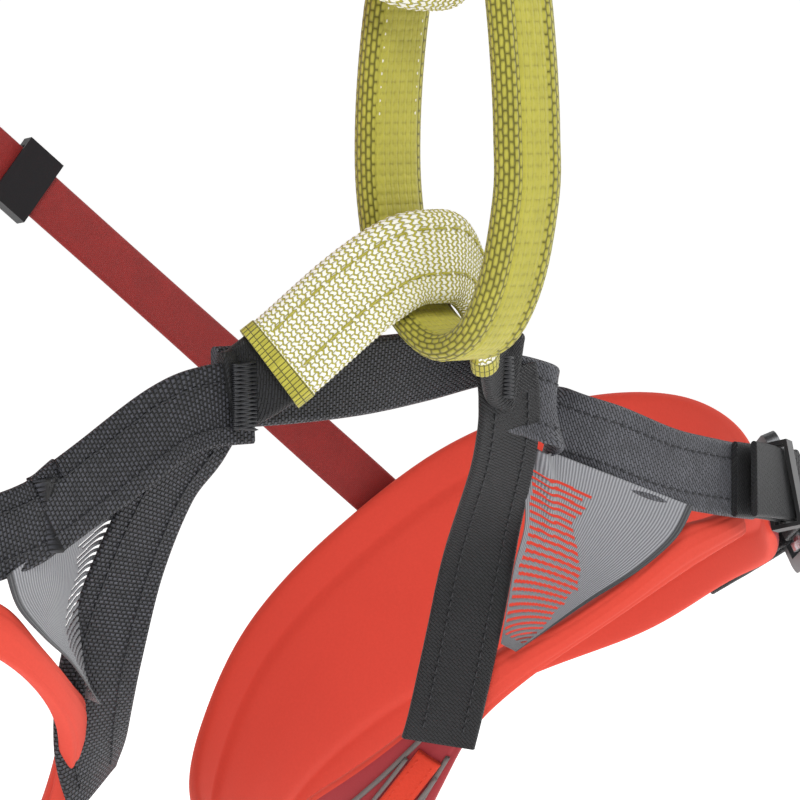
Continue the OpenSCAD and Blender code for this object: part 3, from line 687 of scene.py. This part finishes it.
# %% Bar tacks
def bartack(name, centre, wide, tall, mat):
    """Thread strokes across a block: one lozenge for each stroke, laid in a fan that leans left and right."""
    n = int(tall / 0.52)
    z = np.linspace(-tall / 2, tall / 2, n)
    lean = np.where(np.arange(n) % 2, 0.14, -0.14)
    P = np.array(centre) + np.stack([0 * z, -0.25 * np.cos(z / tall * np.pi), z], 1)
    X = unit(np.stack([1 + 0 * z, 0 * z, lean], 1))
    Z = np.tile([0.0, -1.0, 0.0], (n, 1))
    return place_many(name, lozenge(wide + 1.0, 1.0), P, X, np.cross(Z, X), Z, mat)


TACKS = {"left": (5.4, 4.0, 11.0), "right": (6.2, 8.5, 17.0)}  # distance out, width and height
for level, z, body in (("lower", TIE_Z + 4, "crotch"), ("upper", 5.0, "waist")):
    for side, s in SIDES.items():
        out, wide, tall = TACKS[side]
        place = (46.5 * s + HANG_X, TIE_Y - out, z - 2.0)
        block = bartack(f"{level}_bartack_{side}", place, wide, tall, DARK_THREAD)
        settle(block, body, "black_thread", *([f"{level}_bartacks"] if side == "left" else []))


# %% [markdown]
# ## The belay loop
# Three plies of webbing sewn to one thick strap, closed into a loop that hangs between the two
# tie-in points. The relief is real geometry: rows of ribs on the faces, long staggered floats on
# the rolled edges, and sewn channels between them.

# %% Belay loop
OVAL = np.array([[-164.2, -90], [-164.4, -74], [-163.2, -56], [-160.5, -36], [-156, -19], [-147.5, -6.5],
                 [-137, -2.2], [-126.5, -6.5], [-119, -19], [-114, -36], [-110.6, -55], [-109, -74],
                 [-109.6, -91], [-113.5, -108], [-122, -122], [-135.5, -129.8], [-148.5, -126.5],
                 [-158.5, -112]])[::-1]


def belay_relief(u, v):
    """Height of the weave in mm at u round from the middle of the face and v along."""
    apart = np.abs(u)
    edge = (apart > FACE_HALF) & (apart < EDGE_END)
    channel = -0.4 * (np.exp(-((apart - FACE_HALF) / 0.6) ** 2) + np.exp(-((apart - EDGE_END) / 0.6) ** 2))
    rows = 0.08 * np.abs(np.sin(np.pi * v / RIB_ROW)) ** 0.6
    column = np.round(u / FLOAT_WIDE - 0.5)
    floats = (0.28 * np.abs(np.sin(np.pi * (v / FLOAT_LONG + 0.5 * (column % 2)))) ** 0.5
              * np.cos(np.pi * (u / FLOAT_WIDE - 0.5 - column)) ** 2)
    return np.where(edge, floats, rows) + channel


ring = np.column_stack([np.full(len(OVAL), HANG_X), OVAL, np.ones(len(OVAL)), np.zeros((len(OVAL), 2))])[::-1]
belay_path = lay_out(ring, 0.62, loop=True)
outline, around = web_profile(BELAY_W + 0.8, BELAY_T + 1.0, step=0.5, crown=0.3)
height = belay_relief(around[:-1][None], belay_path["at"][:-1, None])
belay = from_rings("belay_webbing", relief(rings_of(belay_path, outline), height, True), around,
                   belay_path["at"], loop=True, mats=(BELAY_WEB,))
settle(belay, "belay", "green_webbing", "belay_loop")
print("belay loop:", len(belay.data.polygons), "faces,", round(belay_path["at"][-1]), "mm round")


# %% [markdown]
# ## Splice stitching on the belay loop
# The splice at the back of the loop is closed by four rows of lockstitch with a two-tone thread,
# on both faces. The rows stop just above the tie-in sleeve.

# %% Splice stitches
rear = (belay_path["P"][:, 1] > -125) & (belay_path["P"][:, 2] > -74) & (belay_path["P"][:, 2] < -34)
splice = {key: (value[rear] if key in "PTWN" else value) for key, value in belay_path.items()}
splice["at"] = np.r_[belay_path["at"][:-1][rear], belay_path["at"][:-1][rear][-1]]
for name, rows, colour, lead in (("belay_splice_stitching", (-6.2, -2.2, 2.2, 6.2), GREEN_THREAD, 1.0),
                                 ("belay_splice_pale_stitches", (-6.2, 6.2), PALE_THREAD, 2.8)):
    rows_piece = sew(name, splice, rows, BELAY_T / 2 + 0.42, colour, pitch=3.6, length=2.0, thick=0.7,
                     start=lead, stop=1.0, faces=(1, -1))
    settle(rows_piece, "belay", "green_thread", *(["belay_stitching"] if lead == 1.0 else []))


# %% [markdown]
# ## Leg bands
# On each side two bands leave the tie-in point: one runs out over the thigh to the buckle, the
# other drops down the inside of the thigh and is sewn into the pad. They share a joint with the
# tie-in bridge, but here they ride on no body and stay where the model rests.

# %% Leg bands and their seams
REST_OF_TOP = [leg_st(232, 73, BAND_OUT), leg_st(242, 58, BAND_OUT, 10), leg_st(254, 45, BAND_OUT, 20),
               leg_st(265, 35, BAND_OUT, 30)]
TOP_BAND = {"left": [tie(44, 0.5, -2.0, [0, 0, 1]), tie(56, -0.6, -4.5, [0, 0, 1]),
                     tie(66, 0, -8, [-0.1, 0, 1]), leg_st(223, 86, BAND_OUT), *REST_OF_TOP],
            "right": [tie(44, -3.4, 0.0, [0, 0, 1]), tie(58, -2.6, -0.5, [0, 0, 1]),
                      tie(70, -1.5, -4.0, [-0.1, 0, 1]), tie(88, 1, -15, [-0.25, 0, 1]),
                      tie(108, 2, -26, [-0.2, 0, 1]), leg_st(236, 70, BAND_OUT, 4), *REST_OF_TOP[1:]]}
INNER_BAND = {"left": [tie(46, -3.0, 4, [1, 0, 0]), tie(47, -3.0, -3, [1, 0, 0]), tie(49, -0.5, -12, [1, 0, 0]),
                       tie(53, 6.5, -24, [1, -0.12, 0.1]), tie(61, 24, -48, [0.9, -0.4, 0.15]),
                       tie(61.5, 32, -73, [0.86, -0.48, 0.15]), tie(61.2, 39.5, -98, [0.84, -0.5, 0.15]),
                       tie(61, 43, -108, [0.8, -0.55, 0.15])],
              "right": [tie(52, -1.0, 2, [0.9, -0.1, 0.5]), tie(60, -0.5, -9, [0.8, -0.1, 0.6]),
                        tie(68, 4, -22, [0.92, -0.1, 0.4]), tie(74, 12, -44, [0.96, 0.1, 0.2]),
                        tie(75, 22, -68, [0.9, 0.4, 0.1]), tie(71, 32, -89, [0.88, 0.1, 0.1]),
                        tie(63, 42, -107, [0.82, -0.45, 0.13])]}
for side, s in SIDES.items():
    # On the left the top band takes the grey twill, whose grey is painted sheen, and the inner band the darkest
    # twill, whose extra darkness is painted shade; the right side keeps the ribbed webbing.
    for kind, stations, mat in (("top", TOP_BAND[side], GREY_SHEEN_TWILL if s > 0 else DARK_RIB),
                                ("inner", INNER_BAND[side], DARK_TWILL if s > 0 else DARK_RIB)):
        band, path = strap(f"leg_{kind}_webbing_{side}", stations, WEB_W, WEB_T, mat, s, step=0.8, crown=0.1)
        settle(band, None, "grey_webbing", f"leg_{kind}_band_{side}")
        seam = sew(f"leg_{kind}_seam_{side}", path, (-6.0, 6.0), SEAM_OUT, DARK_THREAD, s, pitch=2.9,
                   length=2.4, thick=0.6, start=9.0, stop=4.0, faces=(1, -1))
        settle(seam, None, "black_thread")
        for piece in (band, seam):
            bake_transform(piece)


# %% [markdown]
# ## Moulded pads
# A pad is foam pressed hot between two skins: a raised core, a thin flange round it with a soft
# crease between, and a rolled rim. One outline, set by the pad's height at each station, is
# carried round the ring. The flange is 12 mm wide, or less where the pad narrows. Face cloth
# covers the outside, and its cut edge runs along the flange.

# %% One outline for all pads
HALF_OUTLINE = np.array([  # share of the height, flanges from the rim, distance out in mm
    [0, 0.00, 4.4], [0, 0.03, 3.2], [0, 0.12, 2.3], [0, 0.35, 1.9], [0, 0.65, 1.8], [0, 0.88, 1.9],
    [0, 1.00, 2.3],
    [0, 1.10, 1.9], [0, 1.25, 1.0], [0, 1.45, 0.45], [0.12, 1.40, 0.15], [0.30, 0.70, 0.0], [0.5, 0.0, -0.2]])
HALF_BACK = np.array([
    [0.30, 0.70, 7.6], [0.12, 1.20, 7.5], [0, 1.15, 7.3], [0, 0.95, 7.0], [0, 0.80, 6.7], [0, 0.5, 6.6],
    [0, 0.15, 6.2],
    [0, 0.03, 5.4]])
mirrored_inner = HALF_OUTLINE[-2::-1] * [-1, -1, 1] + [1, 0, 0]
back_up = HALF_BACK[::-1] * [-1, -1, 1] + [1, 0, 0]
OUTLINE = np.vstack([HALF_OUTLINE, mirrored_inner, back_up, [[0.5, 0.0, 7.7]], HALF_BACK])
N_INNER = len(HALF_OUTLINE) + len(mirrored_inner)
COVERED = slice(N_INNER + 1, len(OUTLINE) - 1)
PIPED = {"upper": N_INNER + 4, "lower": N_INNER + 12}


def pad_rows(angles, low, high):
    """Height and distance out of every outline point at every station: low + share * H + flanges * F."""
    tall = (high - low)[:, None]
    flange = np.minimum(12.0, 0.22 * tall)
    h = low[:, None] + OUTLINE[None, :, 0] * tall + OUTLINE[None, :, 1] * flange
    out = np.broadcast_to(OUTLINE[None, :, 2], h.shape).copy()
    n = len(angles)
    end = np.minimum(np.arange(n), np.arange(n)[::-1]) / 3.0
    share = np.sqrt(np.clip(1 - (1 - np.clip(end, 0, 1)) ** 2, 0.04, 1))[:, None]
    middle = (low + high)[:, None] / 2
    pinch = 1 - 0.04 * (1 - share)
    return middle + (h - middle) * pinch, 4.0 + (out - 4.0) * share


def rim_rows(rim):
    """The rim table as a smooth run of angle, high and low."""
    s, _ = smooth(np.column_stack([np.array(rim, float), np.zeros((len(rim), 1))]), LEG_STEP)
    return s[:, 0], s[:, 1], s[:, 2]


LEG_RIM = [[-78, 33, 8], [-62, 37, -10], [-40, 40, -26], [-15, 38, -46], [10, 30, -56], [35, 14, -64],
           [60, -3, -74],
           [85, -22, -86], [107, -30, -92], [130, -30, -88], [150, -22, -74], [165, -10, -56], [176, -1, -36],
           [186, 8, -15], [195, 17, 2], [204, 24, 11], [214, 26, 17], [228, 31, 22], [241, 37, 24],
           [253, 33, 23], [264, 29, 20]]
LEG_STEP, WAIST_STEP = 3.5, 4.8  # spacing of the rings
WAIST_RIM = [[-57, 0], [-45, .05], [-20, .25], [10, .5], [40, .8], [70, .97], [90, 1], [110, .97], [140, .8],
             [170, .5], [200, .25], [225, .05], [237, 0]]


def pad(name, at, angles, low, high, cloth, side=1):
    """The pad as rings round the body. cloth says where the face cloth covers the outside."""
    h, out = pad_rows(angles, low, high)
    rings = at(angles[:, None] + 0 * h, h, out)
    run = np.r_[0, np.cumsum(np.linalg.norm(np.diff(rings[:, 12], axis=0), axis=1))]
    around = np.r_[0, np.cumsum(np.linalg.norm(np.diff(OUTLINE[:, 1:] * [12, 1], axis=0), axis=1)), 80.0]
    zone = np.zeros((len(angles) - 1, len(OUTLINE)), int)
    zone[cloth[:-1], COVERED] = 1
    obj = from_rings(name, rings, around, run, side, mats=(FOAM, SHELL), zone=zone)
    sub = obj.modifiers.new("soft", "SUBSURF")
    sub.levels = sub.render_levels = 2
    return obj, rings


def cord_along(name, points, r, mat, side=1, sides=8, closed=False):
    """A thin round tube along points in mm."""
    s = np.column_stack([points, np.tile([0.3, 0.5, 0.8], (len(points), 1))])
    path = lay_out(s, 1.5, closed)
    a = np.linspace(0, 2 * np.pi, sides, endpoint=False)
    outline = r * np.stack([np.cos(a), np.sin(a)], 1)
    around = np.linspace(0, 2 * np.pi * r, sides + 1)
    return from_rings(name, rings_of(path, outline), around, path["at"], side, closed, (mat,))


# %% Leg pads, their piping and tape
leg_angle, leg_high, leg_low = rim_rows(LEG_RIM)
covered = leg_angle < 192
for side, s in SIDES.items():
    foam, rings = pad(f"leg_pad_foam_{side}", leg_at, leg_angle, leg_low, leg_high, covered, s)
    settle(foam, f"leg_{side}", "coral_foam", f"leg_pad_{side}")
    on = np.flatnonzero(covered)[2:-1]
    for edge, column in PIPED.items():
        line = rings[on, column] + 0.25 * leg_out(leg_angle[on])
        cord_piece = cord_along(f"leg_piping_{edge}_{side}", line, 0.75, PIPING, s)
        settle(cord_piece, f"leg_{side}", "burgundy_shell")
    mid = (leg_low + leg_high)[on] / 2
    run = (leg_angle[on] > 40)
    tape_st = np.column_stack([leg_at(leg_angle[on], mid, 8.1 + 0 * mid), np.tile(LEG_N, (len(on), 1))])[run]
    tape, tape_path = strap(f"leg_tape_{side}", tape_st[::4], 8.0, 1.0, TAPE, s, step=1.2, crown=0.3)
    settle(tape, f"leg_{side}", "coral_foam")
    seam = sew(f"leg_tape_seam_{side}", tape_path, (-2.4, 2.4), 0.65, TAPE, s, pitch=2.6, length=2.1, thick=0.5)
    settle(seam, f"leg_{side}", "black_thread")
    for n, x in enumerate((-5.2, 5.2)):
        line = tape_path["P"] + x * tape_path["W"] + 0.15 * tape_path["N"]
        pipe = cord_along(f"leg_tape_piping_{n}_{side}", line[::5], 0.6, PIPING, s)
        settle(pipe, f"leg_{side}", "burgundy_shell")
print("leg pad:", len(foam.data.polygons), "faces before smoothing")


# %% [markdown]
# ## Open mesh
# A light warp-knit mesh fills the corner between the two leg bands. It is cut with rows of long
# slits, so the foam behind shows through, and a crease runs down from the tie-in point. The panel
# is a ruled surface between two edges. The slits are true holes in the grid, set by a seed.

# %% Mesh panels
FROM_EDGE = np.array([[59, 7, -17], [68.5, 14, -40], [69.5, 20, -56], [70.0, 26, -78]], float)
TO_EDGE = np.array([[121, 0, -40], [116, 2, -49], [105, 6, -58], [91, 13, -67], [74, 24, -80.5]], float)
RIGHT_SHIFT = np.array([8.0, 3.0, 0.0])
MESH_PITCH = 2.6


def mesh_panel(name, side):
    """Points (1 - s) * left + s * right for s across and t down, pushed out by a crease and in by a sag."""
    rng = np.random.default_rng(7)
    start_edge = FROM_EDGE + (RIGHT_SHIFT if side < 0 else 0.0)
    left, _ = smooth(np.column_stack([start_edge, np.zeros((4, 3))]), 0.36)
    t = np.linspace(0, 1, len(left))
    right, at = smooth(np.column_stack([TO_EDGE, np.zeros((5, 3))]), 0.36)
    right = np.stack([np.interp(t, at / at[-1], right[:, n]) for n in range(3)], 1)
    u = np.linspace(0, 1, 110)
    grid = (1 - u)[None, :, None] * left[:, None, :3] + u[None, :, None] * right[:, None]
    grid = grid + np.array([0.0, TIE_Y, TIE_Z])
    fades = np.clip(1 - t[:, None] / 0.55, 0, 1)
    crease = 4.2 * np.exp(-((u[None] - 0.12 - 0.28 * t[:, None]) / 0.05) ** 2) * fades
    sag = 2.5 * np.sin(np.pi * u)[None] * np.sin(np.pi * np.clip(t * 1.15, 0, 1))[:, None]
    away = unit(np.cross(np.gradient(grid, axis=1), np.gradient(grid, axis=0)))
    if away[0, 0, 1] > 0:
        away = -away
    grid = grid + (crease - sag)[..., None] * away
    k, m = grid.shape[:2]
    down = at[-1] * t
    run = (down[:, None] + u[None] * (18 * t[:, None] - 5) + 5) / MESH_PITCH
    row = np.floor(run).astype(int)
    ragged = 0.05 * rng.random(row.max() + 1)[row]
    stop = np.interp(t, [0.1, 0.32, 0.42, 0.6, 0.95], [0.42, 0.38, 0.5, 0.76, 0.9])[:, None] + ragged
    inside = (t[:, None] > 0.12) & (t[:, None] < 0.95)
    hole = (run - row < 0.48) & (u[None] > 0.02 + ragged) & (u[None] < stop) & inside
    i, j = np.meshgrid(np.arange(k - 1), np.arange(m - 1), indexing="ij")
    keep = ~hole[:-1, :-1]
    a = (i * m + j)[keep]
    quads = np.stack([a, a + m, a + m + 1, a + 1], 1)
    if side < 0:
        quads = quads[:, ::-1]
    mesh = bpy.data.meshes.new(name)
    mesh.from_pydata(grid.reshape(-1, 3) * MM * np.array([side, 1, 1]), [], quads.tolist())
    uv = np.stack(np.broadcast_arrays(u[None] * 40.0, down[:, None]), -1).reshape(-1, 2) * MM
    mesh.uv_layers.new(name="weave").data.foreach_set("uv", uv[quads.ravel()].ravel())
    mesh.polygons.foreach_set("use_smooth", [True] * len(quads))
    obj = bpy.data.objects.new(name, mesh)
    bpy.context.scene.collection.objects.link(obj)
    wall = obj.modifiers.new("cloth_thickness", "SOLIDIFY")
    wall.thickness, wall.offset = 0.35 * MM, 0.0
    cells = np.cross(np.diff(grid, axis=0)[:, :-1], np.diff(grid, axis=1)[:-1])
    return obj, float(np.sum(np.linalg.norm(cells, axis=-1)[keep])) * MM ** 2


def mesh_finish():
    """Fine grey warp lines, and a dark hem along the far edge."""
    mat, tree, skin = finish("warp_knit_mesh_grey", Roughness=0.55, Sheen_Weight=0.3)
    place = add(tree, "TexCoord").outputs["UV"]
    lines = add(tree, "TexWave", {"wave_type": "BANDS", "bands_direction": "X"}, Vector=place, Scale=450.0,
                Distortion=0.6, Detail=1.0, Detail_Scale=2.0).outputs["Fac"]
    hem = calc(tree, "GREATER_THAN", add(tree, "SeparateXYZ", Vector=place).outputs[0], 0.0385)
    tree.links.new(mixed(tree, hem, mixed(tree, lines, dye("#5d5e63"), dye("#95969b")), dye("#2b2c30")),
                   skin.inputs["Base Color"])
    raised(tree, skin, lines, 0.15)
    return mat


MESH = mesh_finish()
for side, s in SIDES.items():
    panel, cut = mesh_panel(f"leg_mesh_panel_{side}", s)
    panel.data.materials.append(MESH)
    settle(panel, f"leg_{side}", "grey_mesh", f"leg_mesh_{side}")
print("mesh panel area:", round(cut * 1e6), "square mm")


# %% [markdown]
# ## The belt
# The belt pad is the same moulding on a wider ring. Two bands of webbing run round it with a strip
# of spacer mesh between them, and carry the buckles. A short strap comes from the upper tie-in
# bridge on each side, goes through its buckle and folds back through an elastic keeper.

# %% Belt pad, bands and mesh strip
waist_rows, _ = smooth(np.column_stack([np.array(WAIST_RIM, float) * [2.2, 1], np.zeros((13, 1))]), WAIST_STEP)
waist_angle, share = waist_rows[:, 0] / 2.2, waist_rows[:, 1]
half = (70.0 + 30.0 * share) / 2
WAIST_LIFT = 13.0
belt_pad, rings = pad("waist_pad_foam", belt_at, waist_angle, WAIST_LIFT * share - half,
                      WAIST_LIFT * share + half, np.ones(len(waist_angle), bool))
settle(belt_pad, "waist", "burgundy_shell", "waist_pad")
for edge, column in PIPED.items():
    line = rings[3:-3, column] + 0.25 * belt_out(waist_angle[3:-3])
    pipe = cord_along(f"waist_piping_{edge}", line, 0.8, PIPING)
    settle(pipe, "waist", "burgundy_shell")
BELT_Z = 22.0
belt_angles = np.arange(-30, 211, 6.0)
for level, z in (("upper", BELT_Z), ("lower", -BELT_Z)):
    st = [belt_st(a, z * (1 - 0.018 * max(0.0, abs(a - 90) - 104)), BAND_OUT) for a in belt_angles]
    band, path = strap(f"waist_webbing_{level}", st, WEB_W, WEB_T, DARK_TWILL, step=1.2)
    settle(band, "waist", "grey_webbing", f"waist_band_{level}")
    seam = sew(f"waist_seam_{level}", path, (-8.0, 8.0), SEAM_OUT, DARK_THREAD, pitch=3.2, length=2.5, thick=0.6)
    settle(seam, "waist", "black_thread")
strip_st = [belt_st(a, 0.0, PAD_T + 0.9) for a in np.arange(-16, 197, 6.0)]
strip, path = strap("waist_mesh_strip", strip_st, 19.0, 1.0, MESH, step=1.5, bead=0.0)
settle(strip, "waist", "grey_mesh", "waist_mesh")
print("belt strip:", round(float(path["at"][-1])), "mm long")


# %% [markdown]
# ## Straps through the buckles
# Each strap goes in under the buckle frame, round the sliding bar and back over itself, and each
# frame is held by a doubled tab round its far bar. The path is drawn in the buckle's own frame:
# along the strap, and up from it.

# %% Hairpins round bars
BAR_R, FRAME_T, RAIL, FRAME_LEN = 2.5, 4.0, 4.5, 36.0
PLY_Z = BAR_R + 0.4 + WEB_T / 2
FRAME_OUT = PAD_T + 0.3 + WEB_T + 0.4 + BAR_R + 0.5


def seat_st(p, w, o, q):
    """A station at q = (along, up) in the buckle's own frame."""
    x = unit(np.cross(w, o))
    z = unit(np.cross(x, w))
    return np.r_[p + q[0] * x + q[1] * z, w]


def hairpin(r, n=10):
    """A half circle of radius r, from below to above."""
    a = np.radians(np.linspace(-90, 90, n))
    return np.stack([r * np.cos(a), r * np.sin(a)], 1)


def strap_line(p, w, o, front, back):
    return [*front, seat_st(p, w, o, (-24, -PLY_Z)), seat_st(p, w, o, (-12, -PLY_Z)),
            *[seat_st(p, w, o, q) for q in hairpin(PLY_Z)],
            seat_st(p, w, o, (-12, PLY_Z)), seat_st(p, w, o, (-22, PLY_Z)), *back]


def tab_line(p, w, o, low, top):
    r = np.hypot(FRAME_T, RAIL) / 2 + 0.3 + WEB_T / 2
    turn = [seat_st(p, w, o, (FRAME_LEN / 2 - RAIL / 2 - q[0], q[1])) for q in hairpin(r)]
    return [*low, *turn, *top]


# %% Buckle straps and tabs
WAIST_BUCKLE = -44.0
LEG_BUCKLE, LEG_FALL = -62.0, 30.0
up3 = np.array([0.0, 0.0, 1.0])
waist_p, waist_o = belt_at(WAIST_BUCKLE, 0.0, FRAME_OUT), belt_out(WAIST_BUCKLE)
waist_strap = strap_line(waist_p, up3, waist_o,
    [np.r_[54.5, TIE_Y - 0.3, 0, up3], *[belt_st(a, 0, BAND_OUT) for a in (-63, -60.5, -56)]],
    [*[belt_st(a, 0, BAND_OUT + 3.6) for a in (-56, -60.5, -64)], belt_st(-70, 0, BAND_OUT + 5.4)])
low_o = BAND_OUT + WEB_T + 0.3
waist_tab = tab_line(waist_p, up3, waist_o, [belt_st(-24, 0, low_o), belt_st(-30, 0, low_o)],
                     [belt_st(-30, 0, low_o + 1.2 * WEB_T), belt_st(-24, 0, low_o + 1.2 * WEB_T)])
leg_p, leg_o, leg_wide = leg_at(LEG_BUCKLE, 6.0, FRAME_OUT), leg_out(LEG_BUCKLE), leg_w(LEG_BUCKLE, LEG_FALL)
fall = LEG_FALL
leg_strap = strap_line(leg_p, leg_wide, leg_o,
    [leg_st(a, h, low_o, fall) for a, h in ((257, 42), (265, 35), (275, 26), (282, 20))],
    [*[leg_st(a, h, low_o + 3.6, fall) for a, h in ((282, 20), (275, 26), (266, 34))],
     leg_st(258, 41, low_o + 5.4, fall)])
tab_o = BAND_OUT + 0.5
leg_tab = tab_line(leg_p, leg_wide, leg_o, [leg_st(-28 - 7 * i, -25 + 6 * i, tab_o, fall) for i in (0, 1, 2)],
                   [leg_st(-28 - 7 * i, -25 + 6 * i, tab_o + 1.2 * WEB_T, fall) for i in (2, 1, 0)])
for side, s in SIDES.items():
    for name, st, body, node in ((f"waist_strap_webbing_{side}", waist_strap, "waist", f"waist_strap_{side}"),
                                 (f"waist_tab_webbing_{side}", waist_tab, "waist", f"waist_buckle_tab_{side}"),
                                 (f"leg_strap_webbing_{side}", leg_strap, f"leg_{side}", f"leg_strap_{side}"),
                                 (f"leg_tab_webbing_{side}", leg_tab, f"leg_{side}", f"leg_buckle_tab_{side}")):
        piece, path = strap(name, st, WEB_W, WEB_T, DARK_TWILL, s, step=0.8, crown=0.0, bead=0.0)
        settle(piece, body, "grey_webbing", node)


# %% [markdown]
# ## Gear loops, haul loop and risers
# Gear loops are webbing cores in a moulded sleeve with shallow rings that let it bend. The haul
# loop is one turn of tape. The risers are flat elastic straps that hold the leg loops up at the
# back, each clipped to a bar under the belt.

# %% Gear loops and haul loop
GEAR_Z, GEAR_OUT, GEAR_R, GEAR_DROP = 22.0, PAD_T + 11, 3.5, 46.0
for spot, a in (("front", -14.0), ("rear", 40.0)):
    p, q = belt_at(a - 12.5, GEAR_Z, GEAR_OUT), belt_at(a + 12.5, GEAR_Z, GEAR_OUT)
    u = unit(q - p)
    o = np.cross(u, up3)
    span = np.linalg.norm(q - p)
    t = np.radians(np.arange(15, 166, 15.0))[:, None]
    arc = ((p + q) / 2 - (span / 2 + 9) * np.cos(t) * u - (8 + (GEAR_DROP - 8) * np.sin(t) ** 0.8) * up3
           + 4 * np.sin(t) * o)
    line = np.vstack([p + 5 * u, p - 5 * u, p - 9 * u - 4 * up3, arc, q + 9 * u - 4 * up3, q + 5 * u, q - 5 * u])
    path = lay_out(np.column_stack([line, np.tile([0.1, 0.2, 1.0], (len(line), 1))]), 0.8)
    turn = np.linspace(0, 2 * np.pi, 20, endpoint=False)
    circle = np.stack([np.cos(turn), np.sin(turn)], 1)
    far = path["at"]
    ribbed = np.clip((np.minimum(far, far[-1] - far) - 20) / 4, 0, 1)
    radius = GEAR_R - 0.25 * ribbed * (np.cos(2 * np.pi * far / 5.0) > 0.75)
    rings_g = path["P"][:, None] + radius[:, None, None] * (circle[None, :, :1] * path["W"][:, None]
                                                            + circle[None, :, 1:] * path["N"][:, None])
    for side, s in SIDES.items():
        piece = from_rings(f"gear_loop_{spot}_sleeve_{side}", rings_g, np.linspace(0, 22, 21), far, s,
                           mats=(NYLON,))
        settle(piece, f"gear_{spot}_{side}", "moulded_plastic", f"gear_loop_{spot}_{side}")
a = np.radians(np.linspace(-90, 90, 12))[:, None]
HAUL_Y, HAUL_Z, HAUL_R = WAIST_RY + PAD_T + 14, 4.0, 4.6
lower = np.column_stack([0 * a, HAUL_Y + HAUL_R * np.sin(a), HAUL_Z - 46 - HAUL_R * np.cos(a)])
upper = np.column_stack([0 * a, HAUL_Y - HAUL_R * np.sin(a), HAUL_Z + HAUL_R * np.cos(a)])
haul_st = np.vstack([lower, upper])
haul_st = np.column_stack([haul_st, np.tile([1.0, 0, 0], (len(haul_st), 1))])
haul, path = strap("haul_loop_tape", haul_st, 15.0, 2.2, RED_ELASTIC, loop=True, step=0.8)
settle(haul, "haul", "red_strap", "haul_loop")

# %% Risers and their patches
HEAD = np.array([18.0, WAIST_RY + 12, -78.5])
FOOT = leg_at(20.0, -8.0, PAD_T + 6)
RISER_FACE = np.array([0.67, 0.0, 0.74])
flat_on = unit(np.cross(FOOT - HEAD, leg_out(20.0)))
riser_st = [np.r_[HEAD, RISER_FACE], np.r_[(HEAD + FOOT) / 2, RISER_FACE], np.r_[FOOT, flat_on]]
patch_st = [leg_st(a, -24.0, PAD_T + 0.8) for a in (13, 16.5, 20, 23.5, 27)]
for side, s in SIDES.items():
    riser, path = strap(f"riser_elastic_{side}", riser_st, 16.0, 1.5, RED_ELASTIC, s, crown=0.1, bead=0.0)
    settle(riser, f"riser_{side}", "red_strap", f"riser_strap_{side}")
    patch, path = strap(f"riser_patch_webbing_{side}", patch_st, 22.0, 1.0, DARK_RIB, s, step=0.8, crown=0.0,
                        bead=0.0)
    settle(patch, f"leg_{side}", "grey_webbing", f"riser_patch_{side}")
    seam = sew(f"riser_patch_seam_{side}", path, (-8.5, 8.5), 0.65, DARK_THREAD, s, pitch=2.8, length=2.2,
               thick=0.5)
    settle(seam, f"leg_{side}", "black_thread")


# %% [markdown]
# ## Hardware
# The buckle frames, bars, hooks and tabs have their real shape in the CAD model already, so they
# stay, and only take a finish through their material slots.

# %% Finishes for the parts that stay
STAYS = {"buckle_frame": ANODISED, "buckle_slider": ZINC, "keeper": BLACK_ELASTIC, "riser_adjuster": NYLON,
         "riser_hook": ANODISED, "riser_bar": NYLON, "haul_tab": NYLON, "gear_loop_tabs": NYLON}
for node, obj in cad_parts.items():
    for part, mat in STAYS.items():
        if part in node:
            for holder in obj.material_slots:
                holder.link, holder.material = "OBJECT", mat
print("pieces:", len(made), "faces:", sum(len(o.data.polygons) for o in made))


# %% Floor and closing lines
FLOOR_HALF, FLOOR_Z = 30, -0.48
floor_mesh = bpy.data.meshes.new("floor")
corners = [(x * FLOOR_HALF, y * FLOOR_HALF, FLOOR_Z) for x, y in ((-1, -1), (1, -1), (1, 1), (-1, 1))]
floor_mesh.from_pydata(corners, [], [(0, 1, 2, 3)])
floor = bpy.data.objects.new("floor", floor_mesh)
bpy.context.scene.collection.objects.link(floor)
pale, tree, skin = finish("matt_white_floor", Roughness=0.9, Base_Color=dye("#f4f4f4"),
                          Emission_Color=(1, 1, 1, 1), Emission_Strength=0.68)
floor_mesh.materials.append(pale)
